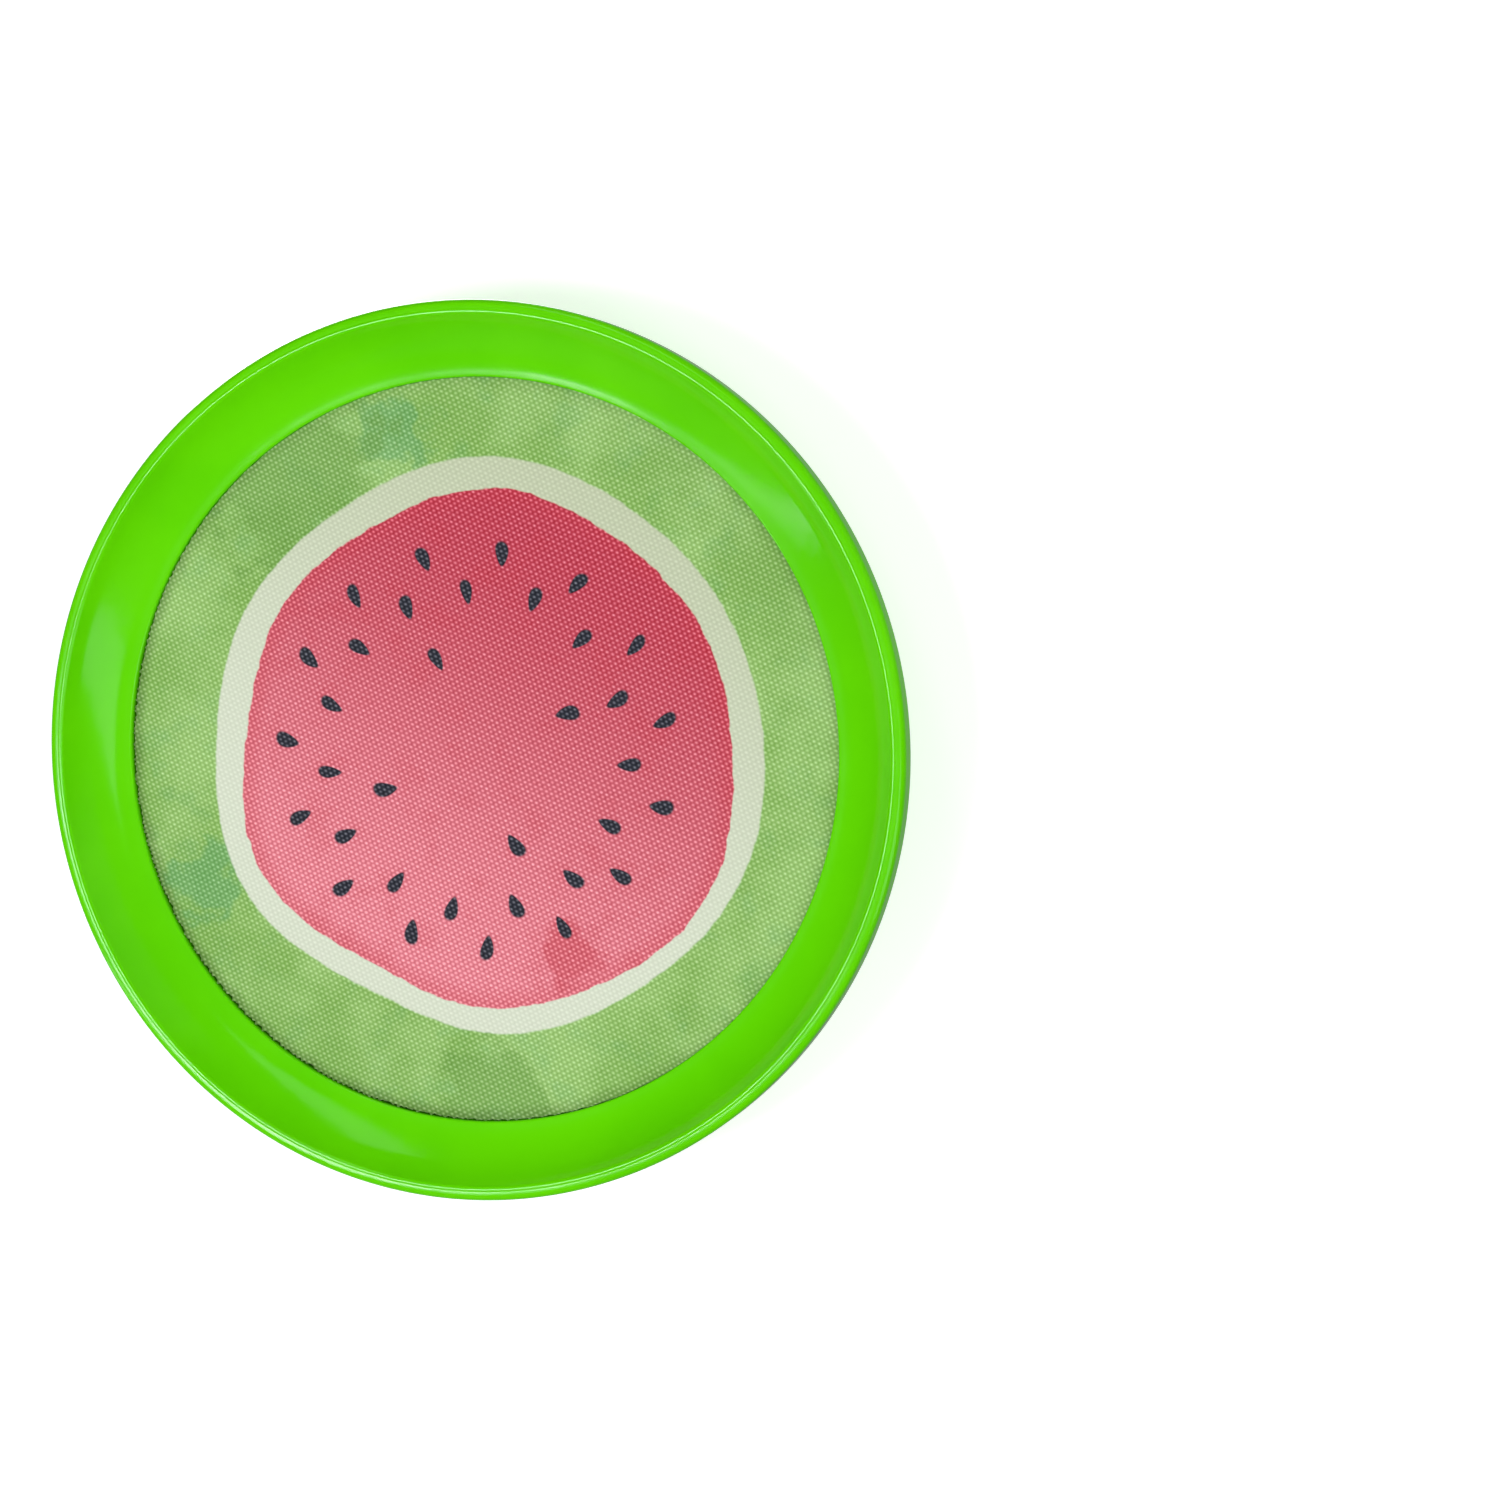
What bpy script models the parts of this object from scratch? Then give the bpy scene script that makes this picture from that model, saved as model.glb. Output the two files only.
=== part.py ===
"""Hook and loop catch paddle: a moulded dish with a printed fabric catching face and a hand strap behind.

The frame is +Z up out of the printed face, with the origin on the dish's axis at the lowest level of the
strap.  Y runs along the strap, from the hook tape's slot to the slider.  Lengths are in metres.
"""
import math

import bmesh
import bpy
from mathutils import Vector

MM = 0.001

# Clearances
TOUCH_GAP = 0.3 * MM          # between pieces that lie on each other
STRAP_SIDE_GAP = 0.6 * MM     # each side of a strap in its slot
CUT_SPARE = 1.0 * MM          # a cutter reaches this far past what it cuts

# Mesh detail
SEGMENTS = 72
CURVE_STEPS = 7               # along the shoulder and the sloping wall
BEND_STEPS = 8                # round each turn of a strap
ARCH_STEPS = 24
MERGE_DISTANCE = 0.01 * MM
SMOOTH_ANGLE = math.radians(35.0)
RIM_ANGLE = math.radians(60.0)

# Dish, a single moulding
OUTER_DIAMETER = 180.0 * MM
RIM_SPAN = 15.1 * MM          # from the fabric's edge to the outside of the skirt
LEDGE_WIDTH = 1.7 * MM        # under the board's edge, outside the last step
FLOOR_WALL = 1.8 * MM
STEP_COUNT = 3
STEP_PITCH = 5.0 * MM
STEP_HEIGHT = 0.9 * MM
STEP_RUN = 0.6 * MM           # slope of each riser
STEP_FILLET = 0.3 * MM
NUB_RADIUS = 1.9 * MM         # moulding gate mark in the middle of the back
NUB_HEIGHT = 0.6 * MM
NUB_DIMPLE_RADIUS = 0.7 * MM
NUB_DIMPLE_DEPTH = 0.35 * MM
NUB_FILLET = 0.25 * MM
RIM_HEIGHT = 15.6 * MM        # from the back of the floor to the top of the lip
LIP_RADIUS = 2.5 * MM
LIP_INNER_FILLET = 0.5 * MM
LIP_TOP_WIDTH = 2.7 * MM      # from the outer diameter to the inner edge of the lip
SKIRT_HEIGHT = 5.6 * MM
SKIRT_WALL = 1.6 * MM
SKIRT_FILLET = 0.4 * MM
GROOVE_WIDTH = 2.0 * MM       # between the skirt and the shoulder
GROOVE_ROOF = 2.3 * MM        # plastic above the groove
FOOT_HEIGHT = 1.1 * MM        # step down from the sloping wall to the fabric
FOOT_WIDTH = 1.2 * MM         # from the fabric's pocket to where the wall starts to slope
FOOT_FILLET = 0.6 * MM
# handles of the curved sections, as (radius, height)
SHOULDER_START_HANDLE = Vector((3.8, 0.2)) * MM
SHOULDER_END_HANDLE = Vector((-2.6, -5.2)) * MM
WALL_TOP_HANDLE = Vector((-2.5, -3.2)) * MM
WALL_FOOT_HANDLE = Vector((4.4, 0.9)) * MM

# Catching face
BOARD_THICKNESS = 1.5 * MM
FABRIC_THICKNESS = 0.6 * MM
RIND_WIDTH = 17.4 * MM        # green edge of the print
PITH_WIDTH = 4.8 * MM         # pale ring inside it
PRINT_WOBBLE = 0.35 * MM
# waves in each turn of a printed edge, their phase and their share of the wobble
PRINT_WAVES = ((3, 0.6, 1.0), (5, 2.0, 0.6), (9, 0.0, 0.4))
SEED_LENGTH = 4.8 * MM
SEED_WIDTH = 2.2 * MM
SEED_TAPER = 0.45
SEED_POINTS = 10
# each ring of seeds: its share of the slice's radius, how many seeds, and the angle of the first
SEED_RINGS = (
    (0.778, 16, math.radians(18.8)),
    (0.649, 16, math.radians(7.5)),
    (0.417, 5, math.radians(52.0)),
)

# Strap
STRAP_OFFSET = -19.0 * MM     # strap's middle, to one side of the dish's axis
STRAP_WIDTH = 24.5 * MM
WEBBING_THICKNESS = 1.0 * MM
HOOK_TAPE_THICKNESS = 1.4 * MM
LOOP_TAPE_THICKNESS = 1.0 * MM
LOOP_TAPE_WIDTH = 22.4 * MM
LOOP_TAPE_SHIFT = -0.9 * MM   # the loop tape is sewn a little to one side
SLOT_INSET = 4.6 * MM         # slot's middle inside the first step, along Y
SLOT_LENGTH = 12.6 * MM
SLOT_CORNER = 1.0 * MM
SLOT_BORDER = 2.0 * MM
SLOT_FRAME_RISE = 0.8 * MM
SLOT_FRAME_ROOT = 0.6 * MM    # how deep a frame is fused into the floor
SLOT_FRAME_CORNER = 3.5 * MM
SLOT_FRAME_FILLET = 0.6 * MM
SLOT_END_SPACE = 1.1 * MM     # bare strip of the slot beyond the webbing
HOOK_END_SPACE = 2.0 * MM     # the same beyond the hook tape
WEBBING_BEND = 0.7 * MM       # inner radius where the webbing turns into the slot
HOOK_RISE_ANGLE = math.radians(8.0)
HOOK_RISE_HANDLE = 35.0 * MM
HOOK_SETTLE_HANDLE = 30.0 * MM
HOOK_DIP_STEPS = 3            # of the bend into the slider, as far as the hook tape reaches
WEBBING_END_LENGTH = 18.0 * MM
HOOK_END_LENGTH = 20.0 * MM
SEAM_LENGTH = 14.0 * MM       # the loop tape sewn under the hook tape
TAIL_OVERLAP = 1.6 * MM       # the tail's end past the slider's lower bar
DIP_EASE = 0.46               # share of the way between two bars that each handle of a bend takes
TAIL_EASE = 0.4

# Three-bar slider
SLIDER_WIDTH = 32.2 * MM
SLIDER_LENGTH = 17.4 * MM
SLIDER_ARM = 2.9 * MM
SLIDER_BAR = 2.6 * MM
SLIDER_THICKNESS = 2.4 * MM
SLIDER_CORNER = 3.2 * MM
SLIDER_WINDOW_CORNER = 1.1 * MM
SLIDER_FILLET = 0.9 * MM
SLIDER_BAR_RISE = 0.8 * MM    # the middle bar stands out from the other two
SLIDER_LIFT = 5.0 * MM        # the slider's middle plane behind the dish's floor
SLIDER_REACH = 2.7 * MM       # the slider's end past the middle of the upper slot, along Y

# Worked out from the sizes above.  "depth" is the distance behind the back of the dish's floor.
OUTER_RADIUS = OUTER_DIAMETER / 2
FABRIC_RADIUS = OUTER_RADIUS - RIM_SPAN
POCKET_RADIUS = FABRIC_RADIUS + TOUCH_GAP
PITH_RADIUS = FABRIC_RADIUS - RIND_WIDTH
FLESH_RADIUS = PITH_RADIUS - PITH_WIDTH
# the flat middle of the back ends at the first step
FLOOR_RADIUS = FABRIC_RADIUS - LEDGE_WIDTH - STEP_RUN - (STEP_COUNT - 1) * STEP_PITCH
SLOT_DISTANCE = FLOOR_RADIUS - SLOT_INSET
SLOT_WIDTH = STRAP_WIDTH + 2 * STRAP_SIDE_GAP
SLIDER_START = SLOT_DISTANCE + SLIDER_REACH
UPPER_BAR_Y = SLIDER_START - SLIDER_BAR / 2
MIDDLE_BAR_Y = SLIDER_START - SLIDER_LENGTH / 2
LOWER_BAR_Y = SLIDER_START - SLIDER_LENGTH + SLIDER_BAR / 2
MIDDLE_BAR_DEPTH = SLIDER_LIFT + SLIDER_BAR_RISE
TAPE_PITCH = LOOP_TAPE_THICKNESS / 2 + TOUCH_GAP + HOOK_TAPE_THICKNESS / 2
SEAM_DEPTH = SLIDER_LIFT + SLIDER_THICKNESS / 2 + TOUCH_GAP + LOOP_TAPE_THICKNESS / 2
TAIL_DEPTH = SEAM_DEPTH + 2 * TAPE_PITCH
BACK_LEVEL = TAIL_DEPTH + LOOP_TAPE_THICKNESS / 2
LEDGE_LEVEL = STEP_COUNT * STEP_HEIGHT + FLOOR_WALL
BOARD_LEVEL = LEDGE_LEVEL + TOUCH_GAP
FABRIC_LEVEL = BOARD_LEVEL + BOARD_THICKNESS + TOUCH_GAP
FACE_LEVEL = FABRIC_LEVEL + FABRIC_THICKNESS


def clear_scene():
    """Remove what the file opened with."""
    for obj in list(bpy.data.objects):
        bpy.data.objects.remove(obj, do_unlink=True)


def plain_material(name, colour, roughness, metallic=0.0):
    """A Principled material of one colour."""
    material = bpy.data.materials.new(name)
    material.use_nodes = True
    shader = material.node_tree.nodes["Principled BSDF"]
    shader.inputs["Base Color"].default_value = (*colour, 1.0)
    shader.inputs["Roughness"].default_value = roughness
    shader.inputs["Metallic"].default_value = metallic
    material.diffuse_color = (*colour, 1.0)
    return material


def add_object(name, bm, materials):
    """Put a finished bmesh into the scene as a named sub-part."""
    bmesh.ops.recalc_face_normals(bm, faces=bm.faces)
    if bm.calc_volume(signed=True) < 0:
        bmesh.ops.reverse_faces(bm, faces=bm.faces)
    mesh = bpy.data.meshes.new(name)
    bm.to_mesh(mesh)
    bm.free()
    mesh.shade_smooth()
    mesh.set_sharp_from_angle(angle=SMOOTH_ANGLE)
    for material in materials:
        mesh.materials.append(material)
    obj = bpy.data.objects.new(name, mesh)
    bpy.context.scene.collection.objects.link(obj)
    return obj


def as_cutter(obj):
    """Mark a shape that only shapes its neighbours."""
    obj.hide_render = True
    obj.display_type = "WIRE"
    return obj


def boolean(obj, operation, other):
    """Cut, join or trim one object with another."""
    modifier = obj.modifiers.new(f"{operation.lower()} {other.name}", "BOOLEAN")
    modifier.operation = operation
    modifier.solver = "EXACT"
    modifier.object = other


def bezier(start, start_handle, end_handle, end, steps):
    """Points along a cubic curve, both ends included."""
    points = []
    for i in range(steps + 1):
        t = i / steps
        u = 1.0 - t
        points.append(start * u**3 + start_handle * 3 * u * u * t + end_handle * 3 * u * t * t + end * t**3)
    return points


def arc(centre, radius, start_angle, turn, steps):
    """Points along a circular arc, both ends included."""
    points = []
    for i in range(steps + 1):
        angle = start_angle + turn * i / steps
        points.append(centre + Vector((math.cos(angle), math.sin(angle))) * radius)
    return points


def rounded(corners):
    """Points of an open outline of (x, y, radius, steps) corners, with an arc at each corner that has steps."""
    points = []
    for i, (x, y, radius, steps) in enumerate(corners):
        corner = Vector((x, y))
        if steps == 0:
            points.append(corner)
            continue
        back = (Vector(corners[i - 1][:2]) - corner).normalized()
        ahead = (Vector(corners[i + 1][:2]) - corner).normalized()
        half = back.angle(ahead) / 2
        centre = corner + (back + ahead).normalized() * (radius / math.sin(half))
        start = corner + back * (radius / math.tan(half)) - centre
        end = corner + ahead * (radius / math.tan(half)) - centre
        points += arc(centre, radius, math.atan2(start.y, start.x), -start.angle_signed(end), steps)
    return points


def rounded_rectangle(width, length, radius, steps=4):
    """Points round a rectangle about the origin."""
    points = []
    for quarter in range(4):
        side_x = 1 if quarter in (0, 3) else -1
        side_y = 1 if quarter in (0, 1) else -1
        centre = Vector((side_x * (width / 2 - radius), side_y * (length / 2 - radius)))
        points += arc(centre, radius, quarter * math.pi / 2, math.pi / 2, steps)
    return points


def offset(points, distance):
    """Points moved to the left of their path, by the same distance everywhere."""
    moved = []
    for i, point in enumerate(points):
        before = points[max(i - 1, 0)]
        after = points[min(i + 1, len(points) - 1)]
        along = (after - before).normalized()
        moved.append(point + Vector((-along.y, along.x)) * distance)
    return moved


def spun(outline):
    """A solid of revolution about Z from an outline in radius and height that starts and ends on the axis."""
    bm = bmesh.new()
    verts = [bm.verts.new((point.x, 0.0, point.y)) for point in outline]
    edges = [bm.edges.new(pair) for pair in zip(verts, verts[1:])]
    bmesh.ops.spin(bm, geom=verts + edges, cent=(0, 0, 0), axis=(0, 0, 1), angle=math.tau,
                   steps=SEGMENTS, use_merge=True)
    bmesh.ops.remove_doubles(bm, verts=bm.verts, dist=MERGE_DISTANCE)
    return bm


def prism(outline, start, distance):
    """An outline of (x, y) points at height start, extruded upwards by a distance."""
    bm = bmesh.new()
    face = bm.faces.new([bm.verts.new((point.x, point.y, start)) for point in outline])
    extruded = bmesh.ops.extrude_face_region(bm, geom=[face])["geom"]
    top = [item for item in extruded if isinstance(item, bmesh.types.BMVert)]
    bmesh.ops.translate(bm, verts=top, vec=(0, 0, distance))
    return bm


def dish_back():
    """The back of the dish from its axis to the shoulder: gate mark, flat floor and shallow steps."""
    corners = [
        (0.0, NUB_DIMPLE_DEPTH - NUB_HEIGHT, 0, 0),
        (NUB_DIMPLE_RADIUS, NUB_DIMPLE_DEPTH - NUB_HEIGHT, 0, 0),
        (NUB_DIMPLE_RADIUS + NUB_DIMPLE_DEPTH, -NUB_HEIGHT, 0, 0),
        (NUB_RADIUS, -NUB_HEIGHT, NUB_FILLET, 1),
        (NUB_RADIUS, 0.0, 0, 0),
    ]
    for step in range(STEP_COUNT):
        edge = FLOOR_RADIUS + step * STEP_PITCH
        corners.append((edge, step * STEP_HEIGHT, STEP_FILLET, 1))
        corners.append((edge + STEP_RUN, (step + 1) * STEP_HEIGHT, 0, 0))
    return rounded(corners)


def floor_front(depth_in_wall=0.0):
    """The stepped front of the floor from the ledge to the axis, or a surface that far inside the wall."""
    inset = FLOOR_WALL * math.tan(math.atan2(STEP_HEIGHT, STEP_RUN) / 2)
    points = []
    for step in reversed(range(STEP_COUNT)):
        edge = FLOOR_RADIUS + step * STEP_PITCH - inset
        level = FLOOR_WALL - depth_in_wall + step * STEP_HEIGHT
        points.append(Vector((edge + STEP_RUN, level + STEP_HEIGHT)))
        points.append(Vector((edge, level)))
    points.append(Vector((0.0, FLOOR_WALL - depth_in_wall)))
    return points


def dish_outline():
    """The whole section of the dish, with the back of its floor at height 0."""
    back = dish_back()
    groove_outer = OUTER_RADIUS - SKIRT_WALL
    groove_inner = groove_outer - GROOVE_WIDTH
    groove_top = RIM_HEIGHT - GROOVE_ROOF - GROOVE_WIDTH / 2
    shoulder_end = Vector((groove_inner, groove_top))
    shoulder = bezier(back[-1], back[-1] + SHOULDER_START_HANDLE,
                      shoulder_end + SHOULDER_END_HANDLE, shoulder_end, CURVE_STEPS)
    groove = arc(Vector((groove_inner + GROOVE_WIDTH / 2, groove_top)), GROOVE_WIDTH / 2, math.pi, -math.pi, 4)
    skirt_end = RIM_HEIGHT - SKIRT_HEIGHT
    lip_inner = OUTER_RADIUS - LIP_TOP_WIDTH
    lip = rounded([
        (groove_outer, groove_top, 0, 0),
        (groove_outer, skirt_end, SKIRT_FILLET, 1),
        (OUTER_RADIUS, skirt_end, SKIRT_FILLET, 1),
        (OUTER_RADIUS, RIM_HEIGHT, LIP_RADIUS, 5),
        (lip_inner, RIM_HEIGHT, 0, 0),
    ])
    wall_top = Vector((lip_inner - LIP_INNER_FILLET, RIM_HEIGHT - LIP_INNER_FILLET))
    foot = rounded([
        (POCKET_RADIUS + FOOT_WIDTH, FACE_LEVEL + FOOT_HEIGHT, 0, 0),
        (POCKET_RADIUS, FACE_LEVEL + FOOT_HEIGHT, FOOT_FILLET, 2),
        (POCKET_RADIUS, LEDGE_LEVEL, 0, 0),
    ])
    wall = bezier(wall_top, wall_top + WALL_TOP_HANDLE, foot[0] + WALL_FOOT_HANDLE, foot[0], CURVE_STEPS)
    return back[:-1] + shoulder[:-1] + groove + lip[1:] + wall[:-1] + foot + floor_front()


def slot_shape(name, side, width, length, corner, start, distance):
    """A rounded block at one of the two slots, heights from the back of the dish's floor."""
    bm = prism(rounded_rectangle(width, length, corner), start, distance)
    block = add_object(name, bm, [])
    block.location = (STRAP_OFFSET, side * SLOT_DISTANCE, BACK_LEVEL)
    return as_cutter(block)


def make_dish(plastic):
    """The dish, with a raised frame round each slot that follows the stepped floor."""
    dish = add_object("paddle_dish", spun(dish_outline()), [plastic])
    dish.location.z = BACK_LEVEL
    reach = OUTER_RADIUS - SKIRT_WALL - GROOVE_WIDTH
    below = -SLOT_FRAME_RISE - CUT_SPARE
    root = floor_front(depth_in_wall=FLOOR_WALL - SLOT_FRAME_ROOT)
    envelope = spun([Vector((0.0, below)), Vector((reach, below)), Vector((reach, root[0].y))] + root)
    trim = as_cutter(add_object("slot_frame_trim", envelope, []))
    trim.location.z = BACK_LEVEL
    for word, side in (("upper", 1), ("lower", -1)):
        frame = slot_shape(f"{word}_slot_frame", side, SLOT_WIDTH + 2 * SLOT_BORDER,
                           SLOT_LENGTH + 2 * SLOT_BORDER, SLOT_FRAME_CORNER, -SLOT_FRAME_RISE, RIM_HEIGHT)
        fillet = frame.modifiers.new("soft edge", "BEVEL")
        fillet.width = SLOT_FRAME_FILLET
        fillet.segments = 2
        fillet.limit_method = "ANGLE"
        fillet.angle_limit = RIM_ANGLE
        boolean(frame, "INTERSECT", trim)
        boolean(dish, "UNION", frame)
    for word, side in (("upper", 1), ("lower", -1)):
        slot = slot_shape(f"{word}_slot_cut", side, SLOT_WIDTH, SLOT_LENGTH, SLOT_CORNER, below, RIM_HEIGHT)
        boolean(dish, "DIFFERENCE", slot)
    return dish


def make_board(material):
    """The board that the fabric is glued to, resting on the ledge round the dish's floor."""
    bm = bmesh.new()
    bmesh.ops.create_cone(bm, cap_ends=True, segments=SEGMENTS, radius1=FABRIC_RADIUS, radius2=FABRIC_RADIUS,
                          depth=BOARD_THICKNESS)
    board = add_object("backing_board", bm, [material])
    board.location.z = BACK_LEVEL + BOARD_LEVEL + BOARD_THICKNESS / 2
    return board


def print_edge(radius, angle):
    """Radius of a hand-painted circle, which wanders a little."""
    wander = sum(share * math.sin(waves * angle + phase) for waves, phase, share in PRINT_WAVES)
    return radius + PRINT_WOBBLE * wander


def seed_outline(radius, angle):
    """A teardrop with its point toward the middle of the slice."""
    out = Vector((math.cos(angle), math.sin(angle)))
    across = Vector((-out.y, out.x))
    points = []
    for i in range(SEED_POINTS):
        turn = math.tau * i / SEED_POINTS
        width = SEED_WIDTH / 2 * (1 + SEED_TAPER * math.cos(turn))
        points.append(out * (radius + SEED_LENGTH / 2 * math.cos(turn)) + across * width * math.sin(turn))
    return points


def closed_loop(bm, points, level):
    """Edges through points and back to the first."""
    verts = [bm.verts.new((point.x, point.y, level)) for point in points]
    return [bm.edges.new((vert, verts[i - 1])) for i, vert in enumerate(verts)]


def make_fabric(rind, pith, flesh, seed):
    """The printed fabric disc, whose colours are fields of its upper face."""
    bm = bmesh.new()
    angles = [math.tau * i / SEGMENTS for i in range(SEGMENTS)]
    loops = []
    for radius, hand_painted in ((FABRIC_RADIUS, False), (PITH_RADIUS, True), (FLESH_RADIUS, True)):
        radii = [print_edge(radius, angle) if hand_painted else radius for angle in angles]
        points = [Vector((math.cos(a), math.sin(a))) * r for a, r in zip(angles, radii)]
        loops.append(closed_loop(bm, points, FABRIC_THICKNESS))
    for index in (0, 1):
        for face in bmesh.ops.bridge_loops(bm, edges=loops[index] + loops[index + 1])["faces"]:
            face.material_index = index
    seeds = []
    for share, count, first in SEED_RINGS:
        for i in range(count):
            outline = seed_outline(share * FLESH_RADIUS, first + math.tau * i / count)
            seeds.append(closed_loop(bm, outline, FABRIC_THICKNESS))
    between = loops[2] + [edge for outline in seeds for edge in outline]
    filled = bmesh.ops.triangle_fill(bm, use_beauty=True, use_dissolve=False, edges=between)["geom"]
    for item in filled:
        if isinstance(item, bmesh.types.BMFace):
            item.material_index = 2
    for outline in seeds:
        for face in bmesh.ops.contextual_create(bm, geom=outline)["faces"]:
            face.material_index = 3
    side = bmesh.ops.extrude_edge_only(bm, edges=loops[0])["geom"]
    lower = [item for item in side if isinstance(item, bmesh.types.BMVert)]
    bmesh.ops.translate(bm, verts=lower, vec=(0, 0, -FABRIC_THICKNESS))
    rim = [item for item in side if isinstance(item, bmesh.types.BMEdge)
           and all(vert in lower for vert in item.verts)]
    bmesh.ops.contextual_create(bm, geom=rim)
    fabric = add_object("printed_fabric", bm, [rind, pith, flesh, seed])
    fabric.location.z = BACK_LEVEL + FABRIC_LEVEL
    return fabric


def ribbon(name, path, thickness, width, shift, material):
    """A strap: a path of (along Y, depth) points given a thickness and extruded across its width."""
    outline = offset(path, thickness / 2) + offset(path, -thickness / 2)[::-1]
    bm = prism(outline, shift - width / 2, width)
    for vert in bm.verts:
        along, depth, across = vert.co
        vert.co = (across, along, -depth)
    strap = add_object(name, bm, [material])
    strap.location = (STRAP_OFFSET, 0.0, BACK_LEVEL)
    return strap


def around_bar(centre, side, thickness):
    """Half a turn round a slider bar, on the side away from the lower slot or toward it."""
    radius = SLIDER_BAR / 2 + TOUCH_GAP + thickness / 2
    if side == "away":
        return arc(centre, radius, -math.pi / 2, math.pi, BEND_STEPS)
    return arc(centre, radius, -math.pi / 2, -math.pi, BEND_STEPS)


def webbing_path():
    """The short webbing loop: in through the upper slot, round the slider's upper bar and back in."""
    thickness = WEBBING_THICKNESS
    inner_layer = -(FLOOR_WALL + TOUCH_GAP + thickness / 2)
    outer_layer = inner_layer - TOUCH_GAP - thickness
    outer_y = SLOT_DISTANCE + SLOT_LENGTH / 2 - SLOT_END_SPACE - thickness / 2
    inner_y = outer_y - TOUCH_GAP - thickness
    bend = WEBBING_BEND + thickness / 2
    bend_y = inner_y - bend
    bend_depth = inner_layer + bend
    end_y = SLOT_DISTANCE - SLOT_LENGTH / 2 - WEBBING_END_LENGTH
    bar = around_bar(Vector((UPPER_BAR_Y, SLIDER_LIFT)), "toward", thickness)
    inner_sweep = inner_y - UPPER_BAR_Y
    outer_sweep = outer_y - UPPER_BAR_Y
    path = [Vector((end_y, inner_layer))]
    path += arc(Vector((bend_y, bend_depth)), bend, -math.pi / 2, math.pi / 2, 4)
    path += arc(Vector((UPPER_BAR_Y, bar[0].y - inner_sweep)), inner_sweep, 0.0, math.pi / 2, 5)
    path += bar[1:]
    path += arc(Vector((UPPER_BAR_Y, bar[-1].y - outer_sweep)), outer_sweep, math.pi / 2, -math.pi / 2, 6)[1:]
    path += arc(Vector((bend_y, bend_depth)), outer_y - bend_y, 0.0, -math.pi / 2, 5)
    path.append(Vector((end_y, outer_layer)))
    return path


def strap_dip():
    """Middle of the loop tape from the top of the lower bar to the underside of the middle bar."""
    start = Vector((LOWER_BAR_Y, SEAM_DEPTH))
    end = around_bar(Vector((MIDDLE_BAR_Y, MIDDLE_BAR_DEPTH)), "away", LOOP_TAPE_THICKNESS)[0]
    handle = Vector(((MIDDLE_BAR_Y - LOWER_BAR_Y) * DIP_EASE, 0.0))
    return bezier(start, start + handle, end - handle, end, BEND_STEPS)


def hook_arch():
    """Middle of the hook tape from its turn in the lower slot to the top of the slider's lower bar."""
    inside_depth = -(FLOOR_WALL + TOUCH_GAP + HOOK_TAPE_THICKNESS / 2)
    over_frame = SLOT_FRAME_RISE + 2 * TOUCH_GAP + HOOK_TAPE_THICKNESS / 2
    turn_radius = (over_frame - inside_depth) / 2
    turn_y = -SLOT_DISTANCE - SLOT_LENGTH / 2 + HOOK_END_SPACE + HOOK_TAPE_THICKNESS / 2 + turn_radius
    turn = arc(Vector((turn_y, inside_depth + turn_radius)), turn_radius, -math.pi / 2,
               -(math.pi - HOOK_RISE_ANGLE), BEND_STEPS)
    rise = Vector((math.cos(HOOK_RISE_ANGLE), math.sin(HOOK_RISE_ANGLE))) * HOOK_RISE_HANDLE
    end = Vector((LOWER_BAR_Y, SEAM_DEPTH + TAPE_PITCH))
    arch = bezier(turn[-1], turn[-1] + rise, end - Vector((HOOK_SETTLE_HANDLE, 0.0)), end, ARCH_STEPS)
    return turn, arch


def hook_path():
    """The hook tape: held inside, out through the lower slot, along the back and into the slider."""
    turn, arch = hook_arch()
    held_end = Vector((-SLOT_DISTANCE + SLOT_LENGTH / 2 + HOOK_END_LENGTH, turn[0].y))
    dip = offset(strap_dip(), TAPE_PITCH)
    return [held_end] + turn[:-1] + arch + dip[1:HOOK_DIP_STEPS + 1]


def loop_path():
    """The loop tape: sewn under the hook tape's end, round the middle bar and back on top as the tail."""
    arch = hook_arch()[1]
    seam_start = LOWER_BAR_Y - SEAM_LENGTH
    seam = [point for point in offset(arch, -TAPE_PITCH) if point.x > seam_start]
    fold = around_bar(Vector((MIDDLE_BAR_Y, MIDDLE_BAR_DEPTH)), "away", LOOP_TAPE_THICKNESS)
    tail_start = Vector((LOWER_BAR_Y + SLIDER_BAR / 4, TAIL_DEPTH))
    handle = Vector(((MIDDLE_BAR_Y - LOWER_BAR_Y) * TAIL_EASE, 0.0))
    rise = bezier(fold[-1], fold[-1] - handle, tail_start + handle, tail_start, BEND_STEPS)
    tail_end = Vector((LOWER_BAR_Y - TAIL_OVERLAP, TAIL_DEPTH))
    return seam[:-1] + strap_dip() + fold[1:] + rise[1:] + [tail_end]


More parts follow.
